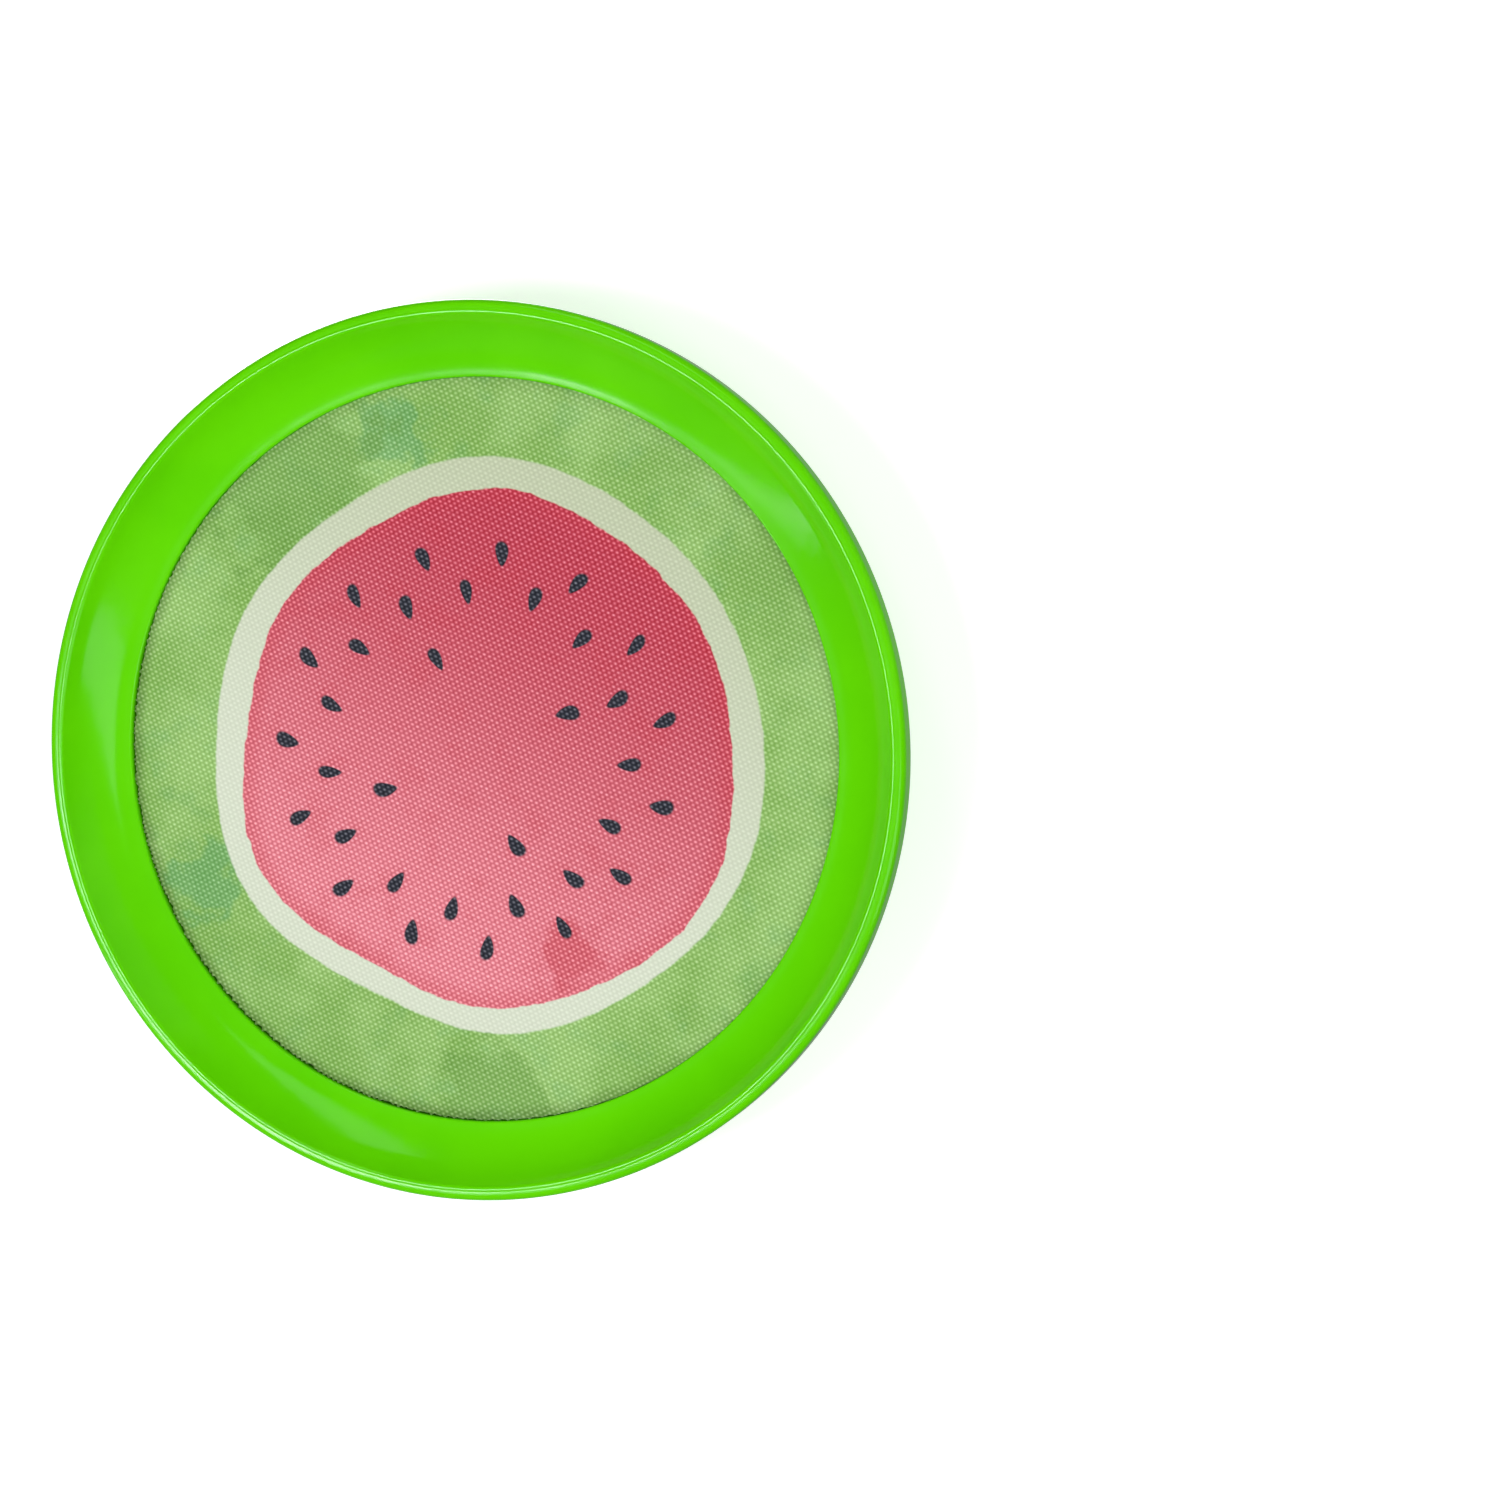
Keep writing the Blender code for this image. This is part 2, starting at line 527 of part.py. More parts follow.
def make_slider(material):
    """The three-bar slider: a rounded frame with a window through it, and its middle bar set outward."""
    bm = bmesh.new()
    outer = closed_loop(bm, rounded_rectangle(SLIDER_WIDTH, SLIDER_LENGTH, SLIDER_CORNER), 0.0)
    window_width = SLIDER_WIDTH - 2 * SLIDER_ARM
    window = rounded_rectangle(window_width, SLIDER_LENGTH - 2 * SLIDER_BAR, SLIDER_WINDOW_CORNER)
    inner = closed_loop(bm, window, 0.0)
    faces = bmesh.ops.bridge_loops(bm, edges=outer + inner)["faces"]
    top = bmesh.ops.extrude_face_region(bm, geom=faces)["geom"]
    top_verts = [item for item in top if isinstance(item, bmesh.types.BMVert)]
    bmesh.ops.translate(bm, verts=top_verts, vec=(0, 0, SLIDER_THICKNESS))
    bmesh.ops.translate(bm, verts=bm.verts, vec=(0, 0, -SLIDER_THICKNESS / 2))
    bmesh.ops.recalc_face_normals(bm, faces=bm.faces)
    rims = [edge for edge in bm.edges if edge.is_manifold and edge.calc_face_angle() > RIM_ANGLE]
    bmesh.ops.bevel(bm, geom=rims, offset=SLIDER_FILLET, segments=2, profile=0.5, affect="EDGES")
    slider = add_object("strap_slider", bm, [material])
    slider.location = (STRAP_OFFSET, MIDDLE_BAR_Y, BACK_LEVEL - SLIDER_LIFT)

    bar_outline = rounded_rectangle(SLIDER_BAR, SLIDER_THICKNESS, SLIDER_FILLET, steps=2)
    bar_length = window_width + SLIDER_ARM
    bar_mesh = prism(bar_outline, -bar_length / 2, bar_length)
    bar = as_cutter(add_object("slider_middle_bar", bar_mesh, []))
    bar.rotation_euler = (math.pi / 2, 0.0, math.pi / 2)
    bar.location = slider.location - Vector((0.0, 0.0, SLIDER_BAR_RISE))
    boolean(slider, "UNION", bar)
    return slider


def main():
    """Build every piece of the paddle."""
    clear_scene()
    green_plastic = plain_material("green_plastic", (0.12, 0.64, 0.004), 0.25)
    board = plain_material("brown_board", (0.24, 0.21, 0.12), 0.85)
    rind = plain_material("rind_print", (0.28, 0.55, 0.13), 0.85)
    pith = plain_material("pith_print", (0.62, 0.70, 0.45), 0.85)
    flesh = plain_material("flesh_print", (0.68, 0.11, 0.14), 0.85)
    seed = plain_material("seed_print", (0.04, 0.05, 0.06), 0.85)
    black_webbing = plain_material("black_webbing", (0.025, 0.025, 0.028), 0.8)
    hook_tape = plain_material("black_hook_tape", (0.04, 0.04, 0.045), 0.6)
    loop_tape = plain_material("black_loop_tape", (0.012, 0.012, 0.013), 0.95)
    black_plastic = plain_material("black_plastic", (0.02, 0.02, 0.022), 0.3)

    make_dish(green_plastic)
    make_board(board)
    make_fabric(rind, pith, flesh, seed)
    make_slider(black_plastic)
    ribbon("webbing_loop", webbing_path(), WEBBING_THICKNESS, STRAP_WIDTH, 0.0, black_webbing)
    ribbon("hook_tape_strap", hook_path(), HOOK_TAPE_THICKNESS, STRAP_WIDTH, 0.0, hook_tape)
    ribbon("loop_tape_tail", loop_path(), LOOP_TAPE_THICKNESS, LOOP_TAPE_WIDTH, LOOP_TAPE_SHIFT, loop_tape)


main()
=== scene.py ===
# %% [markdown]
# # Hook and loop catch paddle
#
# A toy paddle for a catching game: a bright green moulded dish about 18 cm across, with a printed woven
# disc sunk inside its sloping rim and a black hand strap behind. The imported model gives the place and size
# of every piece. This script dresses it: it makes the rounded, ribbed, hooked and woven surfaces that the
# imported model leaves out, and gives each one a finish made of nodes.

import bmesh
import bpy
import math
from mathutils import Matrix, Vector, geometry, noise


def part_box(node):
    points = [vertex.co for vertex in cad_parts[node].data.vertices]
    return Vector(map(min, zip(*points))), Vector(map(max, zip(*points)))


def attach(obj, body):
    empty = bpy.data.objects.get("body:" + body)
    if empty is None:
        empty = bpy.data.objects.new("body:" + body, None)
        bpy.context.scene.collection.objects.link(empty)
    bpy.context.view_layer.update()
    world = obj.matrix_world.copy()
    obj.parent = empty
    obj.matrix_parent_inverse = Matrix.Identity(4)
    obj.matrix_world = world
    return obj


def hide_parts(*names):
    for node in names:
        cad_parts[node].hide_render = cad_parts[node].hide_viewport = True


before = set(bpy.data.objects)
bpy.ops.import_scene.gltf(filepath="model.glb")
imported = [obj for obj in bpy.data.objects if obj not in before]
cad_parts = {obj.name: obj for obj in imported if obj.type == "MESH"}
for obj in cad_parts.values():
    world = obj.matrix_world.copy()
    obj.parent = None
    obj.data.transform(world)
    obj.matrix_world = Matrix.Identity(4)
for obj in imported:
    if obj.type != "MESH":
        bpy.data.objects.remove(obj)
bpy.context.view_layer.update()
MM = 0.001

# %% [markdown]
# ## Camera
#
# The photograph looks down on the printed face from about 60 cm, leaning 14 degrees to one side and almost
# 4 degrees to the other. A camera could be aimed with a constraint, but two plain turns and a place are
# easier to read, and they match the ellipses that the rim and the fabric make in the photograph.

# %% Camera
VIEW_LEAN_X = math.radians(14.27)
VIEW_LEAN_Y = math.radians(3.54)
CAMERA_PLACE = Vector((202.9, 35.7, 589.7)) * MM

camera_data = bpy.data.cameras.new("camera")
camera_data.lens = 72.0
camera_data.sensor_width = 36.0
camera_data.clip_start = 0.02
camera = bpy.data.objects.new("camera", camera_data)
bpy.context.scene.collection.objects.link(camera)
camera.matrix_world = (Matrix.Translation(CAMERA_PLACE) @ Matrix.Rotation(-VIEW_LEAN_Y, 4, "X")
                       @ Matrix.Rotation(VIEW_LEAN_X, 4, "Y"))
bpy.context.scene.camera = camera
bpy.context.scene.view_settings.view_transform = "Standard"
print("the camera is", round(CAMERA_PLACE.length, 3), "m from the floor's middle")

# %% [markdown]
# ## Expressions for finishes
#
# A finish is a small program of nodes. Wiring each node by hand hides the idea, so one class stands for a
# value that flows between nodes, and Python's own operators add the Math nodes: `1 - mask` adds a
# subtraction. A second class holds the material and has the one method that adds any other kind of node.


# %% A value in a node tree, and a material being made
class Flow:
    """A value in a material's nodes, for use in expressions."""

    def __init__(self, finish, socket):
        self.finish = finish
        self.socket = socket

    def maths(self, operation, *values):
        """Add a Math node."""
        return self.finish.node("ShaderNodeMath", {"operation": operation}, values)

    def __add__(self, other):
        return self.maths("ADD", self, other)

    def __sub__(self, other):
        return self.maths("SUBTRACT", self, other)

    def __rsub__(self, other):
        return self.maths("SUBTRACT", other, self)

    def __mul__(self, other):
        return self.maths("MULTIPLY", self, other)

    def __truediv__(self, other):
        return self.maths("DIVIDE", self, other)

    def __pow__(self, other):
        return self.maths("POWER", self, other)

    __radd__ = __add__
    __rmul__ = __mul__

    def cosine(self):
        return self.maths("COSINE", self)

    def fraction(self):
        return self.maths("FRACT", self)

    def floor(self):
        return self.maths("FLOOR", self)

    def size(self):
        return self.maths("ABSOLUTE", self)

    def most(self, other):
        return self.maths("MAXIMUM", self, other)

    def rise(self, low, high):
        """0 below low, 1 above high, and a smooth step between."""
        return self.finish.node("ShaderNodeMapRange", {"interpolation_type": "SMOOTHSTEP"},
                                {"Value": self, "From Min": low, "From Max": high})


class Nodes:
    """A node tree being made, with one method that adds any node."""

    def __init__(self, tree):
        self.tree = tree

    def node(self, kind, settings, values, output=0):
        """Add a node: its settings first, then the numbers or flows of its sockets."""
        node = self.tree.nodes.new(kind)
        for name, value in settings.items():
            setattr(node, name, value)
        pairs = values.items() if isinstance(values, dict) else enumerate(values)
        for key, value in pairs:
            if isinstance(value, Flow):
                self.tree.links.new(value.socket, node.inputs[key])
            else:
                node.inputs[key].default_value = value
        return Flow(self, node.outputs[output])

    def parts(self, vector):
        """The three parts of a vector."""
        return [self.node("ShaderNodeSeparateXYZ", {}, [vector], part) for part in range(3)]

    def blend(self, factor, first, second):
        """A colour between two."""
        return self.node("ShaderNodeMix", {"data_type": "RGBA"}, {0: factor, 6: first, 7: second}, 2)


class Finish(Nodes):
    """A material being made: a shader with its constant values, and the patterns that feed it."""

    def __init__(self, name, **constants):
        self.material = bpy.data.materials.new(name)
        self.material.use_nodes = True
        super().__init__(self.material.node_tree)
        self.shader = self.tree.nodes["Principled BSDF"]
        for words, value in constants.items():
            self.shader.inputs[words.replace("_", " ")].default_value = value

    def place(self):
        """Object coordinates in millimetres: the whole vector and its three parts."""
        coordinates = self.node("ShaderNodeTexCoord", {}, {}, "Object")
        vector = self.node("ShaderNodeVectorMath", {"operation": "SCALE"}, {0: coordinates, "Scale": 1000.0})
        return vector, self.parts(vector)

    def noise(self, vector, pitch, detail=2.0, roughness=0.5):
        """Cloudy noise from 0 to 1 whose lumps are about a pitch across."""
        return self.node("ShaderNodeTexNoise", {}, {"Vector": vector, "Scale": 1.0 / pitch, "Detail": detail,
                                                    "Roughness": roughness})

    def bump(self, height, depth):
        """A normal from a height of 0 to 1 that stands for so many metres."""
        return self.node("ShaderNodeBump", {}, {"Strength": 1.0, "Distance": depth, "Height": height})

    def feed(self, **flows):
        """Link flows to the shader's sockets and hand over the material."""
        for words, flow in flows.items():
            self.tree.links.new(flow.socket, self.shader.inputs[words.replace("_", " ")])
        return self.material


def colour(red, green, blue):
    """A colour as read from a screen, 0 to 255, as the light it stands for."""
    parts = [value / 255.0 for value in (red, green, blue)]
    light = [((part + 0.055) / 1.055) ** 2.4 if part > 0.04045 else part / 12.92 for part in parts]
    return (*light, 1.0)


def grey(light):
    """A grey of so much light."""
    return (light, light, light, 1.0)


print("a mid grey of 128 is", round(colour(128, 128, 128)[0], 3), "in light")

# %% [markdown]
# ## Studio
#
# The paddle lies on a white sheet in a dim room, so that gloss reflects little but the lamps. The sheet
# catches the paddle's shadow and glows a little for the camera, more where the lamps don't reach, so that
# it reads as white. It shows from above only, so that the strap can be looked at from below, and the sky
# under it gives the light that a sheet would throw back. A key lamp overhead and three long strips draw the
# highlights that the photograph shows: their directions were worked out from where on the wall of the dish
# each highlight lies. Three large fills stand for the light that the walls of a studio throw back, and
# leave no reflection. One more lamp shows the back, and does nothing from above.

# %% Floor
LIT_REACH = 150.0
UNLIT_REACH = 450.0

floor_mesh = bmesh.new()
bmesh.ops.create_grid(floor_mesh, x_segments=1, y_segments=1, size=3.0)
floor_data = bpy.data.meshes.new("floor")
floor_mesh.to_mesh(floor_data)
floor_mesh.free()
floor = bpy.data.objects.new("floor", floor_data)
bpy.context.scene.collection.objects.link(floor)

white = Finish("white_floor", Base_Color=grey(0.8), Roughness=0.9, Emission_Strength=1.0)
seen = white.node("ShaderNodeLightPath", {}, {}, "Is Camera Ray")
underside = white.node("ShaderNodeNewGeometry", {}, {}, "Backfacing")
_, (across, along, _) = white.place()
far = (across * across + along * along).rise(LIT_REACH ** 2, UNLIT_REACH ** 2)
white.feed(Emission_Color=white.blend(far, grey(0.55), grey(1.0)))
clear = white.node("ShaderNodeBsdfTransparent", {}, {})
solid = Flow(white, white.shader.outputs[0])
sheet = white.node("ShaderNodeMixShader", {}, [seen * (1.0 - underside), clear, solid])
white.tree.links.new(sheet.socket, white.tree.nodes["Material Output"].inputs["Surface"])
floor_data.materials.append(white.material)
print("the sheet is", [round(side, 1) for side in floor.dimensions[:2]], "m")

# %% Sky
world = bpy.data.worlds.new("studio")
world.use_nodes = True
bpy.context.scene.world = world
tent = Nodes(world.node_tree)
_, toward_back, up = tent.parts(tent.node("ShaderNodeTexCoord", {}, {}, "Generated"))
seen = tent.node("ShaderNodeLightPath", {}, {}, "Is Camera Ray")
room = tent.blend(0.5 + 0.5 * toward_back, grey(0.06), grey(0.03))
room = tent.blend(up.rise(-0.05, 0.0), grey(0.3), room)
backdrop = tent.blend(seen, room, grey(1.0))
tent.tree.links.new(backdrop.socket, tent.tree.nodes["Background"].inputs["Color"])
print("the sky has", len(tent.tree.nodes), "nodes")


# %% Soft boxes
def soft_box(name, direction, width, height, power, reflected=True):
    """A lamp that faces the paddle from a direction, a metre away and with its width level."""
    lamp = bpy.data.lights.new(name, "AREA")
    lamp.shape = "RECTANGLE"
    lamp.size = width
    lamp.size_y = height
    lamp.energy = power
    box = bpy.data.objects.new(name, lamp)
    place = Vector(direction).normalized()
    box.matrix_world = Matrix.Translation(place) @ place.to_track_quat("Z", "Y").to_matrix().to_4x4()
    box.visible_glossy = reflected
    bpy.context.scene.collection.objects.link(box)
    print(name, "gives", power, "W from", [round(part, 2) for part in place])


soft_box("key_box", (-0.35, -0.12, 0.93), 0.2, 0.2, 3.3)
soft_box("front_right_strip", (0.52, -0.25, 0.82), 0.22, 1.0, 1.7)
soft_box("left_strip", (-0.76, -0.35, 0.5), 0.07, 1.0, 0.75)
soft_box("back_strip", (-0.09, 0.61, 0.79), 0.18, 0.7, 0.7)
soft_box("right_fill", (0.75, 0.45, 0.5), 0.8, 0.8, 4.0, reflected=False)
soft_box("front_fill", (-0.6, -0.7, 0.4), 0.8, 0.8, 2.6, reflected=False)
soft_box("top_fill", (0.1, -0.3, 0.95), 1.6, 1.6, 2.2, reflected=False)
soft_box("under_box", (-0.45, 0.5, -0.75), 0.5, 0.5, 5.8)

# %% [markdown]
# ## Sizes
#
# The frame gives the outer sizes of each piece. The sections of the moulding and the way of the straps are
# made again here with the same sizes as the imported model, but with finer arcs, so that reflections run
# smoothly.

# %% Sizes of the moulding
dish_low, dish_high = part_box("paddle_dish")
RIM_HEIGHT = 15.6 * MM
OUTER_RADIUS = dish_high.x
BACK_LEVEL = dish_high.z - RIM_HEIGHT
FLOOR_WALL = 1.8 * MM
FABRIC_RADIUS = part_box("printed_fabric")[1].x
FACE_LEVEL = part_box("printed_fabric")[1].z - BACK_LEVEL
POCKET_RADIUS = FABRIC_RADIUS + 0.3 * MM
STEP_COUNT = 3
STEP_PITCH = 5.0 * MM
STEP_HEIGHT = 0.9 * MM
STEP_RUN = 0.6 * MM
FLOOR_RADIUS = 62.6 * MM
SKIRT_WALL = 1.6 * MM
SKIRT_HEIGHT = 5.6 * MM
GROOVE_WIDTH = 2.0 * MM
GROOVE_ROOF = 2.3 * MM
LIP_TOP_WIDTH = 2.7 * MM
LEDGE_LEVEL = STEP_COUNT * STEP_HEIGHT + FLOOR_WALL
print("the back of the floor is", round(BACK_LEVEL / MM, 2), "mm above the table")


# %% Outlines
def arc(centre, radius, start, turn, steps):
    """Points along a circular arc, both ends included."""
    angles = [start + turn * i / steps for i in range(steps + 1)]
    return [centre + Vector((math.cos(a), math.sin(a))) * radius for a in angles]


def curve(start, start_handle, end_handle, end, steps):
    """Points along a smooth curve between two points, pulled towards two handles."""
    return list(geometry.interpolate_bezier(start, start_handle, end_handle, end, steps + 1))


def rounded(corners):
    """Points of an outline of (x, y, radius) corners, each turned into an arc if it has a radius."""
    points = []
    for i, (x, y, radius) in enumerate(corners):
        corner = Vector((x, y))
        if radius == 0:
            points.append(corner)
            continue
        back = (Vector(corners[i - 1][:2]) - corner).normalized()
        ahead = (Vector(corners[i + 1][:2]) - corner).normalized()
        half = back.angle(ahead) / 2
        centre = corner + (back + ahead).normalized() * (radius / math.sin(half))
        start = corner + back * (radius / math.tan(half)) - centre
        end = corner + ahead * (radius / math.tan(half)) - centre
        steps = 3 if radius < 0.4 * MM else 7
        points += arc(centre, radius, math.atan2(start.y, start.x), -start.angle_signed(end), steps)
    return points


def section():
    """The whole section of the dish in radius and height above the back of its floor."""
    back = [(0.0, -0.25 * MM, 0), (0.7 * MM, -0.25 * MM, 0.2 * MM), (1.05 * MM, -0.6 * MM, 0.2 * MM),
            (1.9 * MM, -0.6 * MM, 0.25 * MM), (1.9 * MM, 0.0, 0)]
    for step in range(STEP_COUNT):
        edge = FLOOR_RADIUS + step * STEP_PITCH
        back.append((edge, step * STEP_HEIGHT, 0.35 * MM))
        back.append((edge + STEP_RUN, (step + 1) * STEP_HEIGHT, 0.2 * MM if step < STEP_COUNT - 1 else 0))
    back = rounded(back)
    groove_outer = OUTER_RADIUS - SKIRT_WALL
    groove_inner = groove_outer - GROOVE_WIDTH
    groove_top = RIM_HEIGHT - GROOVE_ROOF - GROOVE_WIDTH / 2
    shoulder_end = Vector((groove_inner, groove_top))
    shoulder = curve(back[-1], back[-1] + Vector((3.8, 0.2)) * MM,
                     shoulder_end + Vector((-2.6, -5.2)) * MM, shoulder_end, 28)
    groove_middle = Vector((groove_inner + GROOVE_WIDTH / 2, groove_top))
    groove = arc(groove_middle, GROOVE_WIDTH / 2, math.pi, -math.pi, 8)
    skirt_end = RIM_HEIGHT - SKIRT_HEIGHT
    lip_inner = OUTER_RADIUS - LIP_TOP_WIDTH
    lip = rounded([
        (groove_outer, groove_top, 0),
        (groove_outer, skirt_end, 0.4 * MM),
        (OUTER_RADIUS, skirt_end, 0.4 * MM),
        (OUTER_RADIUS, RIM_HEIGHT, 1.2 * MM),
        (lip_inner + 0.8 * MM, RIM_HEIGHT - 0.09 * MM, 0.8 * MM),
        (lip_inner, RIM_HEIGHT, 1.0 * MM),
        (lip_inner - 0.7 * MM, RIM_HEIGHT - 0.9 * MM, 0),
    ])
    foot = rounded([
        (POCKET_RADIUS + 1.2 * MM, FACE_LEVEL + 1.1 * MM, 0),
        (POCKET_RADIUS, FACE_LEVEL + 0.85 * MM, 0.5 * MM),
        (POCKET_RADIUS, LEDGE_LEVEL, 0),
    ])
    wall = curve(lip[-1], lip[-1] + Vector((-2.4, -3.08)) * MM,
                 foot[0] + Vector((4.4, 0.9)) * MM, foot[0], 36)
    return back[:-1] + shoulder[:-1] + groove + lip[1:-1] + wall[:-1] + foot + floor_front(FLOOR_WALL)


def floor_front(level):
    """The stepped front of the floor from the ledge to the axis, its middle at a level."""
    inset = FLOOR_WALL * math.tan(math.atan2(STEP_HEIGHT, STEP_RUN) / 2)
    points = []
    for step in reversed(range(STEP_COUNT)):
        edge = FLOOR_RADIUS + step * STEP_PITCH - inset
        points.append(Vector((edge + STEP_RUN, level + (step + 1) * STEP_HEIGHT)))
        points.append(Vector((edge, level + step * STEP_HEIGHT)))
    points.append(Vector((0.0, level)))
    return points


print("the section has", len(section()), "points")

# %% [markdown]
# ## Dish
#
# The real dish is one moulding, round everywhere but at its two strap slots. It could be a stack of discs,
# but a moulding's wall has the same thickness in front and behind, so one section spun about the axis makes
# it true. The slot frames and slots are blocks joined and cut afterwards, as in the mould.


# %% Building helpers
def add_piece(name, bm, materials, smooth=35.0, closed=True):
    """Put a finished bmesh into the scene, facing outwards and smooth but for its corners."""
    if closed:
        bmesh.ops.recalc_face_normals(bm, faces=bm.faces)
        if bm.calc_volume(signed=True) < 0:
            bmesh.ops.reverse_faces(bm, faces=bm.faces)
    mesh = bpy.data.meshes.new(name)
    bm.to_mesh(mesh)
    bm.free()
    mesh.shade_smooth()
    mesh.set_sharp_from_angle(angle=math.radians(smooth))
    for material in materials:
        mesh.materials.append(material)
    obj = bpy.data.objects.new(name, mesh)
    bpy.context.scene.collection.objects.link(obj)
    return obj


def modify(obj, kind, **settings):
    """Add a modifier with its settings."""
    modifier = obj.modifiers.new(kind.lower(), kind)
    for name, value in settings.items():
        setattr(modifier, name, value)


def apply_modifiers(obj, *used_up):
    """Turn a piece's modifiers into plain mesh, and remove the shapes that they used."""
    graph = bpy.context.evaluated_depsgraph_get()
    obj.data = bpy.data.meshes.new_from_object(obj.evaluated_get(graph), depsgraph=graph)
    obj.modifiers.clear()
    for other in used_up:
        bpy.data.objects.remove(other, do_unlink=True)


def triangles(obj):
    """How many triangles a piece has."""
    obj.data.calc_loop_triangles()
    return len(obj.data.loop_triangles)


def show(obj, node):
    """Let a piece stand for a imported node, moving with the paddle."""
    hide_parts(node)
    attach(obj, "root")
    print(obj.name, "has", triangles(obj), "triangles")


def spun(outline, steps):
    """A solid of revolution from an outline in radius and height that starts and ends on the axis."""
    bm = bmesh.new()
    verts = [bm.verts.new((point.x, 0.0, point.y)) for point in outline]
    edges = [bm.edges.new(pair) for pair in zip(verts, verts[1:])]
    bmesh.ops.spin(bm, geom=verts + edges, cent=(0, 0, 0), axis=(0, 0, 1), angle=math.tau, steps=steps,
                   use_merge=True)
    bmesh.ops.remove_doubles(bm, verts=bm.verts, dist=0.001 * MM)
    bmesh.ops.translate(bm, verts=bm.verts, vec=(0, 0, BACK_LEVEL))
    return bm


def block(width, length, corner, start, height, corner_steps=6):
    """An upright block with rounded corners, about the origin."""
    bm = bmesh.new()
    bmesh.ops.create_cube(bm, size=1.0)
    bmesh.ops.scale(bm, verts=bm.verts, vec=(width, length, height))
    bmesh.ops.translate(bm, verts=bm.verts, vec=(0, 0, start + height / 2))
    upright = [edge for edge in bm.edges if abs((edge.verts[0].co - edge.verts[1].co).z) > height / 2]
    bmesh.ops.bevel(bm, geom=upright, offset=corner, segments=corner_steps, profile=0.5, affect="EDGES",
                    material=-1)
    return bm


print("a block of three centimetres has", len(block(0.03, 0.03, 0.003, 0.0, 0.03).faces), "faces")

# %% [markdown]
# The plastic is glossy and fresh from the mould: one strong colour, faint clouds where the melt flowed, and
# a skin that is not quite flat, so that reflections have soft edges. Ripples in a bump give those edges at
# less cost than a finer mesh would.

# %% Green plastic
green = Finish("green_plastic", Specular_IOR_Level=0.25)
green_place, _ = green.place()
flow_marks = green.noise(green_place, 26.0, 3.0)
ripples = green.noise(green_place, 5.0, 1.0)
grain = green.noise(green_place, 0.9, 3.0, 0.6)
green_plastic = green.feed(
    Base_Color=green.blend(flow_marks.rise(0.3, 0.7), colour(98, 222, 0), colour(105, 229, 0)),
    Roughness=0.08 + 0.08 * flow_marks + 0.02 * grain,
    Normal=green.bump(ripples, 0.035 * MM),
)
print("the dish is made of", green_plastic.name)

# %% Dish
STRAP_OFFSET = -19.0 * MM
STRAP_WIDTH = 24.5 * MM
SLOT_DISTANCE = 58.0 * MM
SLOT_LENGTH = 12.6 * MM
SLOT_WIDTH = STRAP_WIDTH + 1.2 * MM
FRAME_RISE = 0.8 * MM
FRAME_BORDER = 2.0 * MM
FRAME_CORNER = 3.5 * MM
FRAME_SOFT_EDGE = 0.6 * MM
FRAME_ROOT = 0.6 * MM
SLOT_CORNER = 1.0 * MM
CUT_SPARE = 1.0 * MM
ROUND_STEPS = 288

dish = add_piece("dish", spun(section(), ROUND_STEPS), [green_plastic])
reach = OUTER_RADIUS - SKIRT_WALL - GROOVE_WIDTH
root = floor_front(FRAME_ROOT)
below = -FRAME_RISE - CUT_SPARE
trim_outline = [Vector((0.0, below)), Vector((reach, below)), Vector((reach, root[0].y))] + root
trim = add_piece("trim", spun(trim_outline, ROUND_STEPS), [green_plastic])
cutters = [trim]
for side in (-1, 1):
    raised = block(SLOT_WIDTH + 2 * FRAME_BORDER, SLOT_LENGTH + 2 * FRAME_BORDER, FRAME_CORNER,
                   -FRAME_RISE, RIM_HEIGHT)
    rim = [edge for edge in raised.edges if all(vert.co.z < 0 for vert in edge.verts)]
    bmesh.ops.bevel(raised, geom=rim, offset=FRAME_SOFT_EDGE, segments=4, profile=0.5, affect="EDGES",
                    material=-1)
    hole = block(SLOT_WIDTH, SLOT_LENGTH, SLOT_CORNER, below, RIM_HEIGHT)
    parts = []
    for word, shape in (("slot_frame", raised), ("slot", hole)):
        bmesh.ops.translate(shape, verts=shape.verts, vec=(STRAP_OFFSET, side * SLOT_DISTANCE, BACK_LEVEL))
        parts.append(add_piece(word, shape, [green_plastic]))
    modify(parts[0], "BOOLEAN", operation="INTERSECT", solver="EXACT", object=trim)
    modify(dish, "BOOLEAN", operation="UNION", solver="EXACT", object=parts[0])
    cutters += parts
for hole in cutters[2::2]:
    modify(dish, "BOOLEAN", operation="DIFFERENCE", solver="EXACT", object=hole)
apply_modifiers(dish, *cutters)
dish.data.shade_smooth()
dish.data.set_sharp_from_angle(angle=math.radians(35.0))
modify(dish, "WEIGHTED_NORMAL", keep_sharp=True, weight=80)
apply_modifiers(dish)
show(dish, "paddle_dish")

# %% [markdown]
# ## Board
#
# Behind the fabric is a grey-brown board that shows only through the two slots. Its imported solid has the
# right shape, so it stays and gets a finish: pulp with darker fibres.

# %% Board
pulp = Finish("brown_board", Roughness=0.9)
pulp_place, _ = pulp.place()
specks = pulp.noise(pulp_place, 1.2, 4.0, 0.7)
stains = pulp.noise(pulp_place, 14.0, 2.0)
brown_board = pulp.feed(
    Base_Color=pulp.blend(specks.rise(0.35, 0.75), colour(112, 104, 78), colour(150, 140, 108)),
    Roughness=0.8 + 0.15 * stains,
    Normal=pulp.bump(specks, 0.05 * MM),
)
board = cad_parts["backing_board"]
board.data.materials.clear()
board.data.materials.append(brown_board)
print("the board keeps its packed shape")

